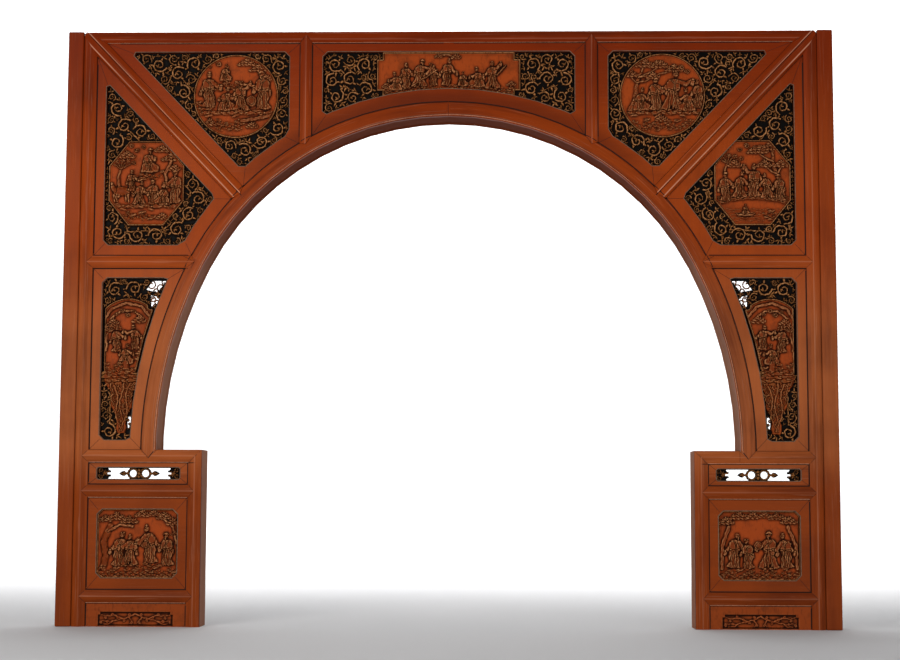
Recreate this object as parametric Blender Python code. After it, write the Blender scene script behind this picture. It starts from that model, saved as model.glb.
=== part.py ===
# Carved wooden archway: two panelled legs on square pedestals, a three-centred arch ring,
# and carved panels held in flat mitred frames between moulded members.
# Metres, +Z up, +X right, the front faces -Y. The origin is under the middle of the archway.
import math

import bmesh
import bpy
from mathutils import Vector
from mathutils.geometry import delaunay_2d_cdt

# Whole archway
HEIGHT = 2.40
LEG_WIDTH = 0.38698     # from the foot of the arch to the outer face of the post
DEPTH = 0.15
GAP = 0.0003            # clearance between neighbouring pieces

# Upright members
POST_WIDTH = 0.063
STILE_WIDTH = 0.056
PEDESTAL_STILE_WIDTH = 0.056
PEDESTAL_STANDS_IN = 0.18602   # how far a pedestal stands inside the foot of the arch
PEDESTAL_HEIGHT = 0.700
POST_BEVEL = 0.005

# Cross members, and the clear heights between them
RAIL_HEIGHT = 0.0522
PEDESTAL_RAIL_HEIGHT = 0.0514
BASE_RAIL_Z = 0.0935           # underside of the base rail
FRET_BAY_HEIGHT = 0.0874
UPPER_RAIL_DROP = 0.9714       # from the top to the underside of the upper rail
TOP_RAIL_HEIGHT = 0.0465
MUNTIN_SHARE = 0.52446         # place of the muntins, as a share of the crown radius
MUNTIN_WIDTH = 0.049
LIGHT_BACK_SETBACK = 0.030   # cross members stop this far short of the back
ARROW_REACH = 0.026          # how far a pointed end runs into the member it meets

# Arch: crown arc and haunch arcs, measured on the soffit
CROWN_RADIUS = 1.104
CROWN_DROP = 0.351           # from the top to the soffit at the crown
HAUNCH_OFFSET = 0.479        # haunch centre beyond the middle line
RING_WIDTH = 0.060
SOFFIT_BEAD = 0.005
FOOT_ANGLE = -0.04           # the sweep starts below the foot and is cut to its point
HAUNCH_STEPS = 7
CROWN_STEPS = 11
RING_CREST = 0.006           # highest line of the ring, from its soffit
RING_ROUND = 0.35            # rounding of its front edge, as a share of the crest's distance
RING_FOOT = 0.034            # how far the pointed ring foot runs into the pedestal rail

# Diagonal joint from the top corner to the ring
DIAGONAL_DEGREES = 46.5
DIAGONAL_START = 0.011       # joint starts this far inside the post, at the top
DIAGONAL_LOWER_WIDTH = 0.038
DIAGONAL_UPPER_WIDTH = 0.030
DIAGONAL_REACH = 0.012
DIAGONAL_LOWER_CREST = 0.72  # crest lines, as shares of the width from the joint
DIAGONAL_UPPER_CREST = 0.10
JOINT_SHOULDER = 0.006       # edge of the lower half below its crest, at the joint
JOINT_ARRIS = 0.001          # edge of the upper half below its crest, at the joint
STILE_TOP_DROP = 0.012       # the outer corner of the stile's mitre, below the top
TOP_CREST = 0.013            # crest of the top rail above its lower edge
MUNTIN_HEAD = 0.031
MUNTIN_FOOT = 0.020

# Mouldings
MOULD_DROP = 0.013           # edge of a moulding below its crest
EDGE_DROP = 0.009            # the rounded faces end here, and a small edge falls to the full drop
CREST_SHARES = (0.94, 0.68, 0.36)   # section points, as shares of the way from crest to edge
CREST_POWER = 1.5
FIELD_SETBACK = 0.014        # flat frames behind the front
FRAME_THICK = 0.022
PLATE_THICK = 0.012
PANEL_LAP = 0.008            # how far a carved panel laps behind its frame

# Widths of the flat frames round each opening
FRAME_SIDE = 0.038
FRAME_RING_SIDE = 0.056
NARROW_RING_SIDE = 0.046
FIGURE_FRAME_TOP = 0.0455
FRET_FRAME_TOP = 0.020
FRET_FRAME_END = 0.032
TOP_FRAME = 0.036
OCTAGON_FRAME_BASE = 0.043
DIAGONAL_FRAME_SIDE = 0.043
CENTRE_FRAME_SIDE = 0.043
CORNER_CUT = 0.020
FRET_CORNER_CUT = 0.006

# Relief heights above the plate of a panel
STRAND_RISE = 0.010
GROUND_RISE = 0.006
FIGURE_RISE = 0.013
RIM_RISE = 0.009
RIM_EDGE = 0.0025            # run of the slope up to a medallion
CARVED_SLOPE = 2.2
RIDGE_INSET = 0.25           # a ridge starts and ends this share of a step from the ends
BRANCH_SINK = 0.003

# Scrollwork: the widest circles that fit beside a medallion each take a curl
CURL_COUNT = 6
CURL_LARGEST = 0.034
CURL_LEAST = 0.020
CURL_MARGIN = 0.003
CURL_LATTICE = 0.008         # spacing of the places that are tried
CURL_REACH = 0.86            # start of the stem, as a share of the circle's radius
STEM_WIDTH = 0.20            # stem and bud widths, as shares of the circle's radius
BUD_WIDTH = 0.24
CURL_CLOSING = 0.72
CURL_TURN = math.radians(400)
CURL_STEPS = 5

# Medallions, and their gaps from the openings round them
ROUNDEL_RADIUS = 0.172
ROUNDEL_SIDE_GAP = 0.0475
ROUNDEL_TOP_GAP = 0.0085
ROUNDEL_SIDES = 20
OCTAGON_WIDTH = 0.306
OCTAGON_HEIGHT = 0.346
OCTAGON_SIDE = 0.143
OCTAGON_SIDE_GAP = 0.015
OCTAGON_FOOT_GAP = 0.0822
CARTOUCHE_HALF = 0.291
CARTOUCHE_STEP = 0.023
CARTOUCHE_STEP_HEIGHT = 0.030
MEDALLION_RIM = 0.007
NARROW_INSET = 0.012         # medallion inside the opening of a narrow panel
NARROW_FLOOR = 0.385         # its floor and its top, as shares of the opening's height
NARROW_TOP = 0.870
NARROW_CORNER = 0.032

# Figures and trees, in the medallion's half width: across and up from its middle, height, lean
# and, for trees, the spread. Across is as seen from the front.
FIGURES = {
    ("roundel", -1): ((-0.26, 0.42, 0.36, 0.0), (-0.63, -0.24, 0.76, 0.05), (-0.26, -0.30, 0.50, 0.10),
                      (0.18, -0.32, 0.60, -0.08), (0.62, -0.28, 0.82, -0.05)),
    ("roundel", 1): ((-0.55, -0.32, 0.50, 0.08), (-0.16, -0.32, 0.74, -0.05), (0.27, -0.32, 0.78, 0.08),
                     (0.66, -0.34, 0.50, -0.05)),
    ("octagon", -1): ((0.05, 0.34, 0.56, 0.0), (-0.42, -0.18, 0.50, 0.05), (-0.20, -0.58, 0.52, 0.06),
                      (0.20, -0.58, 0.56, -0.06), (0.70, -0.58, 0.74, -0.08)),
    ("octagon", 1): ((-0.60, -0.45, 0.70, 0.05), (-0.16, -0.40, 0.80, -0.05), (0.28, -0.40, 0.58, 0.08),
                     (0.70, -0.45, 0.62, -0.05)),
    ("narrow", -1): ((-0.50, 0.04, 1.35, 0.05), (-0.02, 0.04, 1.70, 0.05), (0.48, 0.04, 1.40, -0.10)),
    ("narrow", 1): ((-0.50, 0.04, 1.30, 0.08), (0.02, 0.04, 1.65, -0.05), (0.52, 0.04, 1.35, 0.0)),
    ("figure", -1): ((-0.49, -0.48, 0.92, 0.03), (-0.22, -0.48, 0.80, 0.06), (0.30, -0.44, 0.90, -0.04),
                     (0.70, -0.48, 0.80, -0.05)),
    ("figure", 1): ((-0.64, -0.48, 0.88, 0.05), (-0.30, -0.48, 0.76, -0.04), (0.22, -0.48, 0.90, 0.05),
                    (0.66, -0.48, 0.88, -0.05))}
TREES = {
    ("roundel", -1): ((0.84, -0.10, 0.80, -0.45, 0.34),),
    ("roundel", 1): ((-0.76, -0.30, 0.96, 0.32, 0.44),),
    ("octagon", -1): ((-0.74, -0.60, 1.15, 0.12, 0.32), (0.62, -0.05, 0.62, -0.10, 0.30)),
    ("octagon", 1): ((0.74, -0.45, 1.25, -0.22, 0.40),),
    ("narrow", -1): ((-0.86, 0.04, 2.60, 0.20, 0.80),),
    ("narrow", 1): ((0.86, 0.04, 2.60, -0.20, 0.80),),
    ("figure", -1): ((-0.86, -0.48, 1.14, 0.26, 0.50), (0.90, -0.48, 1.16, -0.22, 0.32)),
    ("figure", 1): ((-0.88, -0.48, 1.14, 0.26, 0.44), (0.88, -0.48, 1.14, -0.26, 0.44))}

# Figures of the centre panel: across, height and lean, in the cartouche's half width
CENTRE_FIGURES = ((-0.88, 0.22, 0.0), (-0.66, 0.37, 0.06), (-0.36, 0.34, -0.10), (-0.03, 0.35, 0.10),
                  (0.19, 0.16, 0.0), (0.40, 0.30, -0.10), (0.65, 0.37, 0.08), (0.88, 0.24, 0.0))

# Pierced corners of the narrow panels, where daylight shows: shares of the opening's height up
# from its foot, and of its width there, from the ring side
DAYLIGHT = (((0.02, 0.985), (0.24, 0.985), (0.30, 0.930), (0.10, 0.915)),
            ((0.03, 0.885), (0.19, 0.895), (0.12, 0.825), (0.03, 0.835)),
            ((0.06, 0.16), (0.17, 0.13), (0.12, 0.06), (0.04, 0.10)))

# Bottom boards
BRANCH_MARGIN = 0.050
BRANCH_TOP = 0.058
BRANCH_CUT = 0.008
BRANCH_FOOT = 0.004
BRANCH_EDGE = 0.002
BRANCH_WIDTH = 0.009
# The branches of one half, as shares of the half width across and of the field's height up
BRANCHES = (((0.02, 0.90), (0.40, 0.48), (0.78, 0.20), (0.98, 0.30)),
            ((0.38, 0.54), (0.70, 0.80), (0.95, 0.82)), ((0.28, 0.56), (0.16, 0.16)))

# Frets, in half heights of the opening
FRET_RING = 1.05             # place of each ring from the middle
FRET_HOLE = 0.62
FRET_HOLE_SIDES = 12
# Upper edge of a ring and its leafy finial, out from the ring's middle, and of a leafy end
FRET_BULB = ((0.42, 0.90), (0.80, 0.60), (0.96, 0.22), (1.20, 0.16), (1.52, 0.44), (1.90, 0.36), (2.35, 0.04))
FRET_SCROLL = ((0.10, 0.14), (-0.42, 0.16), (-0.55, 0.46), (-0.20, 0.58), (0.0, 0.90))
FRET_END = 0.040             # solid ends of the fret, in metres

TINY = 0.00002
MERGE = 0.0003          # outline points closer than this become one
SHORT_SIDE = 0.002      # outline sides shorter than this are dropped

# Derived levels and lines
FRONT = -DEPTH / 2
BACK = DEPTH / 2
LIGHT_BACK = BACK - LIGHT_BACK_SETBACK
FRAME_FRONT = FRONT + FIELD_SETBACK
FRAME_BACK = FRAME_FRONT + FRAME_THICK
PLATE_FRONT = FRAME_BACK + GAP
PLATE_BACK = PLATE_FRONT + PLATE_THICK
CROWN_CENTRE_Z = HEIGHT - CROWN_DROP - CROWN_RADIUS
CENTRE_DROP = CROWN_CENTRE_Z - PEDESTAL_HEIGHT
HAUNCH_RADIUS = CROWN_RADIUS + math.hypot(HAUNCH_OFFSET, CENTRE_DROP)
CHANGE_ANGLE = math.atan2(CENTRE_DROP, HAUNCH_OFFSET)
FOOT_X = HAUNCH_RADIUS - HAUNCH_OFFSET
OUTER = FOOT_X + LEG_WIDTH
POST_INNER = OUTER - POST_WIDTH
STILE_INNER = POST_INNER - STILE_WIDTH
PEDESTAL_INNER = FOOT_X - PEDESTAL_STANDS_IN
PEDESTAL_STILE_OUTER = PEDESTAL_INNER + PEDESTAL_STILE_WIDTH
PEDESTAL_RAIL_Z = PEDESTAL_HEIGHT - PEDESTAL_RAIL_HEIGHT
MIDDLE_RAIL_Z = PEDESTAL_RAIL_Z - FRET_BAY_HEIGHT - RAIL_HEIGHT
UPPER_RAIL_Z = HEIGHT - UPPER_RAIL_DROP
TOP_RAIL_Z = HEIGHT - TOP_RAIL_HEIGHT
MUNTIN_X = CROWN_RADIUS * MUNTIN_SHARE
ROUNDEL_X = MUNTIN_X + MUNTIN_WIDTH / 2 + CENTRE_FRAME_SIDE + ROUNDEL_SIDE_GAP + ROUNDEL_RADIUS
ROUNDEL_Z = TOP_RAIL_Z - TOP_FRAME - ROUNDEL_TOP_GAP - ROUNDEL_RADIUS
OCTAGON_X = STILE_INNER - FRAME_SIDE - OCTAGON_SIDE_GAP - OCTAGON_WIDTH / 2
OCTAGON_Z = UPPER_RAIL_Z + RAIL_HEIGHT + OCTAGON_FRAME_BASE + OCTAGON_FOOT_GAP + OCTAGON_HEIGHT / 2
SLOPE = math.radians(DIAGONAL_DEGREES)
JOINT_POINT = (POST_INNER - DIAGONAL_START, HEIGHT)
JOINT_DIRECTION = (-math.cos(SLOPE), -math.sin(SLOPE))
JOINT_NORMAL = (math.sin(SLOPE), -math.cos(SLOPE))   # points to the leg side

# Widths of each flat frame: sides, ring side, top, slanting side, foot, and the corner cut
OPENINGS = {
    "narrow": (FRAME_SIDE, NARROW_RING_SIDE, FRAME_SIDE, 0, FRAME_SIDE, CORNER_CUT),
    "octagon": (FRAME_SIDE, FRAME_RING_SIDE, FRAME_SIDE, DIAGONAL_FRAME_SIDE,
                OCTAGON_FRAME_BASE, CORNER_CUT),
    "roundel": (CENTRE_FRAME_SIDE, FRAME_RING_SIDE, TOP_FRAME, DIAGONAL_FRAME_SIDE, 0, CORNER_CUT),
    "centre": (CENTRE_FRAME_SIDE, FRAME_RING_SIDE, TOP_FRAME, 0, 0, CORNER_CUT),
    "figure": (FRAME_SIDE, 0, FIGURE_FRAME_TOP, 0, FIGURE_FRAME_TOP, CORNER_CUT),
    "fret": (FRET_FRAME_END, 0, FRET_FRAME_TOP, 0, FRET_FRAME_TOP, FRET_CORNER_CUT),
}

SIDES = (("left", -1), ("right", 1))


def clear_scene():
    for thing in list(bpy.data.objects):
        bpy.data.objects.remove(thing, do_unlink=True)


def material(name, colour, roughness):
    made = bpy.data.materials.new(name)
    made.use_nodes = True
    shader = made.node_tree.nodes["Principled BSDF"]
    shader.inputs["Base Color"].default_value = (*colour, 1.0)
    shader.inputs["Roughness"].default_value = roughness
    shader.inputs["Metallic"].default_value = 0.0
    return made


def finish_object(name, mesh_maker, finish):
    made = bmesh.new()
    mesh_maker(made)
    bmesh.ops.remove_doubles(made, verts=made.verts, dist=0.000005)
    bmesh.ops.recalc_face_normals(made, faces=made.faces)
    mesh = bpy.data.meshes.new(name)
    made.to_mesh(mesh)
    made.free()
    mesh.shade_smooth()
    mesh.set_sharp_from_angle(angle=math.radians(35))
    mesh.materials.append(finish)
    thing = bpy.data.objects.new(name, mesh)
    bpy.context.scene.collection.objects.link(thing)
    return thing


def cut_by(target, cutter):
    cutter.hide_render = True
    cutter.display_type = "WIRE"
    cut = target.modifiers.new("joint", "BOOLEAN")
    cut.operation = "DIFFERENCE"
    cut.solver = "EXACT"
    cut.object = cutter


# Plane outlines, as lists of (x, z) points

def clip(outline, point, normal):
    """Keep the part of an outline on the side of a line that its normal points to."""
    kept = []
    heights = [(x - point[0]) * normal[0] + (z - point[1]) * normal[1] for x, z in outline]
    for index, here in enumerate(outline):
        before = outline[index - 1]
        high, low = heights[index], heights[index - 1]
        if (high >= 0) != (low >= 0):
            share = low / (low - high)
            kept.append((before[0] + (here[0] - before[0]) * share,
                         before[1] + (here[1] - before[1]) * share))
        if high >= 0:
            kept.append(here)
    return kept


def tidy_outline(outline, least=SHORT_SIDE):
    kept = []
    for point in outline:
        if not kept or math.dist(point, kept[-1]) > least:
            kept.append(point)
    if math.dist(kept[0], kept[-1]) <= least:
        kept.pop()
    return kept


def cut_corners(outline, size):
    """Cut the sharp corners of an outline off, and leave its curved stretches."""
    cut = []
    count = len(outline)
    for index in range(count):
        before = Vector(outline[index - 1])
        here = Vector(outline[index])
        after = Vector(outline[(index + 1) % count])
        inward = before - here
        onward = after - here
        turn = math.degrees((-inward).angle(onward))
        if turn < 25:
            cut.append(tuple(here))
            continue
        for side in (inward, onward):
            cut.append(tuple(here + side.normalized() * min(size, side.length * 0.48)))
    return cut


def grown(outline, amount):
    """An outline moved out, or in if the amount is negative, by the same on every side."""
    doubled = sum(outline[i - 1][0] * z - x * outline[i - 1][1] for i, (x, z) in enumerate(outline))
    turn = 1 if doubled > 0 else -1
    moved = []
    count = len(outline)
    for index in range(count):
        here = Vector(outline[index])
        run_in = (here - Vector(outline[index - 1])).normalized()
        run_out = (Vector(outline[(index + 1) % count]) - here).normalized()
        normal_in = Vector((run_in.y, -run_in.x)) * turn
        normal_out = Vector((run_out.y, -run_out.x)) * turn
        shift = (normal_in + normal_out) / (1 + normal_in.dot(normal_out))
        moved.append(tuple(here + shift * amount))
    return moved


def mirrored(outline, side):
    return [(x * side, z) for x, z in outline]


def arch_stations():
    """Centre, radius and angle of each station along the right half of the arch."""
    stations = []
    for step in range(HAUNCH_STEPS):
        angle = FOOT_ANGLE + (CHANGE_ANGLE - FOOT_ANGLE) * step / HAUNCH_STEPS
        stations.append((-HAUNCH_OFFSET, PEDESTAL_HEIGHT, HAUNCH_RADIUS, angle))
    for step in range(CROWN_STEPS + 1):
        angle = CHANGE_ANGLE + (math.pi / 2 - CHANGE_ANGLE) * step / CROWN_STEPS
        stations.append((0.0, CROWN_CENTRE_Z, CROWN_RADIUS, angle))
    return stations


def station_point(station, offset):
    centre_x, centre_z, radius, angle = station
    reach = radius + offset
    return (centre_x + reach * math.cos(angle), centre_z + reach * math.sin(angle))


def spandrel(offset):
    """The right half of the wall area outside the arch, moved out by an offset."""
    curve = [station_point(s, offset) for s in arch_stations()]
    curve.append((-DEPTH, curve[-1][1]))
    foot = curve[0][1]
    return curve + [(-DEPTH, HEIGHT + DEPTH), (OUTER, HEIGHT + DEPTH), (OUTER, foot)]


def joint_line(inset):
    """A point and a normal of the diagonal joint, moved to the leg side by an inset."""
    return ((JOINT_POINT[0] + JOINT_NORMAL[0] * inset, JOINT_POINT[1] + JOINT_NORMAL[1] * inset),
            JOINT_NORMAL)


def bounded(outline, left=None, right=None, low=None, high=None, below=None, above=None):
    """Clip by upright and level lines, and by the diagonal on either side."""
    if left is not None:
        outline = clip(outline, (left, 0), (1, 0))
    if right is not None:
        outline = clip(outline, (right, 0), (-1, 0))
    if low is not None:
        outline = clip(outline, (0, low), (0, 1))
    if high is not None:
        outline = clip(outline, (0, high), (0, -1))
    if below is not None:
        point, normal = joint_line(below)
        outline = clip(outline, point, normal)
    if above is not None:
        point, normal = joint_line(-above)
        outline = clip(outline, point, (-normal[0], -normal[1]))
    return tidy_outline(outline)


def rectangle(left, right, low, high):
    return [(left, low), (right, low), (right, high), (left, high)]


# Bays: the space between the members, moved in by a width on each kind of side

def bay(name, side_in=GAP, ring_in=GAP, level_in=GAP, slant_in=GAP, foot_in=GAP):
    ring = RING_WIDTH + ring_in
    if name == "narrow":
        return bounded(spandrel(ring), right=STILE_INNER - side_in,
                       low=PEDESTAL_HEIGHT + foot_in, high=UPPER_RAIL_Z - level_in)
    if name == "octagon":
        return bounded(spandrel(ring), right=STILE_INNER - side_in,
                       low=UPPER_RAIL_Z + RAIL_HEIGHT + foot_in,
                       below=DIAGONAL_LOWER_WIDTH + slant_in)
    if name == "roundel":
        return bounded(spandrel(ring), left=MUNTIN_X + MUNTIN_WIDTH / 2 + side_in,
                       high=TOP_RAIL_Z - level_in, above=DIAGONAL_UPPER_WIDTH + slant_in)
    if name == "centre":
        right, top = MUNTIN_X - MUNTIN_WIDTH / 2 - side_in, TOP_RAIL_Z - level_in
        half = bounded(spandrel(ring), left=0, right=right, high=top)
        lower = sorted(point for point in half if point[1] < top - TINY)
        left_side = [(-x, z) for x, z in reversed(lower) if x > TINY]
        return [(-right, top), *left_side, *lower, (right, top)]
    left = PEDESTAL_STILE_OUTER + side_in
    right = STILE_INNER - side_in
    if name == "figure":
        return rectangle(left, right, BASE_RAIL_Z + RAIL_HEIGHT + foot_in,
                         MIDDLE_RAIL_Z - level_in)
    if name == "fret":
        return rectangle(left, right, MIDDLE_RAIL_Z + RAIL_HEIGHT + foot_in,
                         PEDESTAL_RAIL_Z - level_in)
    return rectangle(left, right, 0, BASE_RAIL_Z - level_in)


def opening(name, grow=0.0):
    """The opening of a flat frame, grown or shrunk all round."""
    *widths, corner = OPENINGS[name]
    return grown(cut_corners(bay(name, *widths), corner), grow)


def octagon(grow=0.0):
    half_wide = OCTAGON_WIDTH / 2 + grow
    half_high = OCTAGON_HEIGHT / 2 + grow
    flat = OCTAGON_SIDE / 2 + grow * math.tan(math.pi / 8)
    corners = [(half_wide, -flat), (half_wide, flat), (flat, half_high), (-flat, half_high),
               (-half_wide, flat), (-half_wide, -flat), (-flat, -half_high), (flat, -half_high)]
    return [(OCTAGON_X + x, OCTAGON_Z + z) for x, z in corners]


def cartouche(grow=0.0):
    """The middle field of the centre panel, stepped in at its top and bottom corners."""
    half = CARTOUCHE_HALF + grow
    inner = half - CARTOUCHE_STEP
    top = TOP_RAIL_Z - TOP_FRAME
    reach = CROWN_RADIUS + RING_WIDTH + FRAME_RING_SIDE
    base = CROWN_CENTRE_Z + math.sqrt(reach ** 2 - half ** 2)
    high_step = top - CARTOUCHE_STEP_HEIGHT + grow
    low_step = base + CARTOUCHE_STEP_HEIGHT - grow
    left = [(-inner, base - CARTOUCHE_STEP_HEIGHT), (-inner, low_step), (-half, low_step),
            (-half, high_step), (-inner, high_step), (-inner, top + CARTOUCHE_STEP_HEIGHT)]
    return left + [(-x, z) for x, z in reversed(left)]


# Members

def crest_section(low, high, crest, back, low_drop=MOULD_DROP, high_drop=MOULD_DROP):
    """Section of a moulding across v: highest at v = crest, with its edges below by their drops."""
    section = [(high, back), (high, FRONT + high_drop)]
    for share in CREST_SHARES:
        face = min(EDGE_DROP, high_drop) * share ** CREST_POWER
        section.append((crest + (high - crest) * share, FRONT + face))
    section.append((crest, FRONT))
    for share in reversed(CREST_SHARES):
        face = min(EDGE_DROP, low_drop) * share ** CREST_POWER
        section.append((crest + (low - crest) * share, FRONT + face))
    section += [(low, FRONT + low_drop), (low, back), (crest, back)]
    return section


def arrow(reach, low, high, crest):
    """How far an end runs on at each v: the point is on the crest line."""
    def shift(v):
        edge = high if v > crest else low
        return reach * (1 - abs((v - crest) / (edge - crest)))
    return shift


def mitre(slope, offset=0.0):
    def shift(v):
        return slope * v + offset
    return shift


def straight(v):
    return 0.0


def member(name, start, end, section, cut_start, cut_end, side, finish):
    """A straight moulding from start to end; v is measured to the left of its run."""
    first, last = Vector(start), Vector(end)
    run = (last - first).normalized()
    across = Vector((-run.y, run.x))
    crest = section[-1][0]
    middle = section.index((crest, FRONT))

    def make(made):
        rings = []
        for place, sign, cut in ((first, -1, cut_start), (last, 1, cut_end)):
            spots = [place + across * v + run * sign * cut(v) for v, y in section]
            rings.append([made.verts.new((spot.x * side, y, spot.y))
                          for spot, (v, y) in zip(spots, section)])
        count = len(section)
        for index in range(count):
            after = (index + 1) % count
            made.faces.new((rings[0][index], rings[0][after], rings[1][after], rings[1][index]))
        for ring in rings:
            made.faces.new(ring[:middle + 1] + [ring[-1]])
            made.faces.new(ring[middle:])
    return finish_object(name, make, finish)


def prism(name, outline, front, back, finish):
    def make(made):
        for y in (front, back):
            made.faces.new([made.verts.new((x, y, z)) for x, z in outline])
        made.verts.ensure_lookup_table()
        count = len(outline)
        for index in range(count):
            after = (index + 1) % count
            made.faces.new([made.verts[i] for i in (index, after, after + count, index + count)])
    return finish_object(name, make, finish)


def notch(target, outline, back, finish):
    cutter = prism(target.name + "_notch", outline, FRONT - DEPTH, back + GAP, finish)
    cut_by(target, cutter)


def ring_section():
    """Section of the arch ring: offset from the soffit line against depth."""
    bead_back = BACK - SOFFIT_BEAD * 2
    face = RING_WIDTH - RING_CREST
    section = [(RING_WIDTH, BACK), (RING_WIDTH, FRONT + MOULD_DROP)]
    for share in CREST_SHARES:
        section.append((RING_CREST + face * share, FRONT + EDGE_DROP * share ** CREST_POWER))
    section += [(RING_CREST, FRONT), (RING_CREST * RING_ROUND, FRONT + RING_CREST * RING_ROUND)]
    section += [(0.0, FRONT + RING_CREST), (0.0, bead_back - SOFFIT_BEAD)]
    section += [(-SOFFIT_BEAD, bead_back), (-SOFFIT_BEAD, BACK)]
    return section


def ring_piece(name, cuts, side, finish):
    """Sweep the ring section along half the arch and cut it by planes (point, normal)."""
    section = ring_section()

    def make(made):
        rings = []
        for station in arch_stations():
            spots = [(station_point(station, offset), y) for offset, y in section]
            rings.append([made.verts.new((x * side, y, z)) for (x, z), y in spots])
        count = len(section)
        for one, two in zip(rings, rings[1:]):
            for index in range(count):
                after = (index + 1) % count
                made.faces.new((one[index], one[after], two[after], two[index]))
        made.faces.new(rings[0])
        made.faces.new(rings[-1])
        for point, normal in cuts:
            everything = made.verts[:] + made.edges[:] + made.faces[:]
            cut = bmesh.ops.bisect_plane(
                made, geom=everything, dist=1e-7, plane_co=(point[0] * side, 0, point[1]),
                plane_no=(-normal[0] * side, 0, -normal[1]), clear_outer=True)
            edges = [e for e in cut["geom_cut"] if isinstance(e, bmesh.types.BMEdge)]
            bmesh.ops.contextual_create(made, geom=edges)
    return finish_object(name, make, finish)


# Boards, plain or with a carved front

def inside(outline, x, z):
    """Whether a point is in an outline, also one that crosses itself."""
    winding = 0
    for index, (x2, z2) in enumerate(outline):
        x1, z1 = outline[index - 1]
        left = (x2 - x1) * (z - z1) - (x - x1) * (z2 - z1)
        if z1 <= z < z2 and left > 0:
            winding += 1
        elif z2 <= z < z1 and left < 0:
            winding -= 1
    return winding != 0


def distance_to(outline, x, z):
    """Distance from a point to the nearest side of an outline."""
    least = math.inf
    for index, (x2, z2) in enumerate(outline):
        x1, z1 = outline[index - 1]
        run_x, run_z = x2 - x1, z2 - z1
        share = ((x - x1) * run_x + (z - z1) * run_z) / max(run_x ** 2 + run_z ** 2, TINY ** 2)
        share = min(max(share, 0), 1)
        least = min(least, math.hypot(x - x1 - run_x * share, z - z1 - run_z * share))
    return least


def relief_height(x, z, window, grounds, shapes):
    """Height of the carving above the board at a point."""
    if not inside(window, x, z) or distance_to(window, x, z) < 2 * MERGE:
        return 0.0
    ground = 0.0
    for outline, rise in grounds:
        if inside(outline, x, z) or distance_to(outline, x, z) < TINY:
            ground = rise
    height = 0.0
    for outline, _, rise in shapes:
        if inside(outline, x, z):
            height = max(height, min(rise, CARVED_SLOPE * distance_to(outline, x, z)))
    return ground + height


def triangulate(closed, lines, kept, voids):
    """Triangles between outlines and lines, inside one outline and outside the voids."""
    points, edges = [], []
    for outline in closed:
        first, count = len(points), len(outline)
        points += [Vector(point) for point in outline]
        edges += [(first + i, first + (i + 1) % count) for i in range(count)]
    for line in lines:
        first = len(points)
        points += [Vector(point) for point in line]
        edges += [(first + i, first + i + 1) for i in range(len(line) - 1)]
    spots, _, triangles, _, _, _ = delaunay_2d_cdt(points, edges, [], 0, MERGE, False)
    wanted = []
    for corners in triangles:
        middle = sum((spots[c] for c in corners), Vector((0.0, 0.0))) / 3
        if inside(kept, *middle) and not any(inside(void, *middle) for void in voids):
            wanted.append(corners)
    return spots, wanted


def edge_ends(triangles):
    """The directed edges that only one triangle has."""
    directed = {pair for t in triangles for pair in zip(t, t[1:] + t[:1])}
    return [(one, two) for one, two in directed if (two, one) not in directed]


def board(name, outline, front, back, finish, voids=(), window=None, grounds=(), shapes=()):
    """A board with holes, and with carving that rises from its front inside a window.

    Grounds are outlines with a rise; shapes are outlines with a ridge line and a rise."""
    window = window or outline
    closed = [outline, *voids] + ([window] if shapes else [])
    closed += [ground[0] for ground in grounds] + [shape[0] for shape in shapes]
    lines = [shape[1] for shape in shapes]
    spots, faces = triangulate(closed, lines, outline, voids)
    back_spots, back_faces = triangulate([outline, *voids], [], outline, voids)
    rim = {corner for edge in edge_ends(faces) for corner in edge}

    def make(made):
        near, far = {}, {}
        for corners in faces:
            for c in corners:
                if c not in near:
                    x, z = spots[c]
                    y = front - relief_height(x, z, window, grounds, shapes)
                    near[c] = made.verts.new((x, y, z))
            made.faces.new([near[c] for c in corners])
        for corners in back_faces:
            for c in corners:
                if c not in far:
                    far[c] = made.verts.new((back_spots[c].x, back, back_spots[c].y))
            made.faces.new([far[c] for c in reversed(corners)])
        for one, two in edge_ends(back_faces):
            start, run = back_spots[one], back_spots[two] - back_spots[one]
            along = []
            for c in rim:
                reach = (spots[c] - start).dot(run) / run.length
                off = abs((spots[c] - start).cross(run)) / run.length
                if off < MERGE and -MERGE < reach < run.length + MERGE:
                    along.append((reach, c))
            made.faces.new([far[two], far[one]] + [near[c] for _, c in sorted(along)])
    return finish_object(name, make, finish)


# Motifs of the carving: each is an outline, a ridge line inside it, and a rise

def ribbon(line, widths, rise):
    """A strip along a line of points, with a width at each."""
    left, right = [], []
    for index, point in enumerate(line):
        before = Vector(line[max(index - 1, 0)])
        after = Vector(line[min(index + 1, len(line) - 1)])
        across = (after - before).normalized() * widths[index] / 2
        left.append((point[0] - across.y, point[1] + across.x))
        right.append((point[0] + across.y, point[1] - across.x))
    first, last = Vector(line[0]), Vector(line[-1])
    ridge = [tuple(first.lerp(Vector(line[1]), RIDGE_INSET)), *line[1:-1],
             tuple(last.lerp(Vector(line[-2]), RIDGE_INSET))]
    return (left + right[::-1], ridge, rise)


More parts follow.
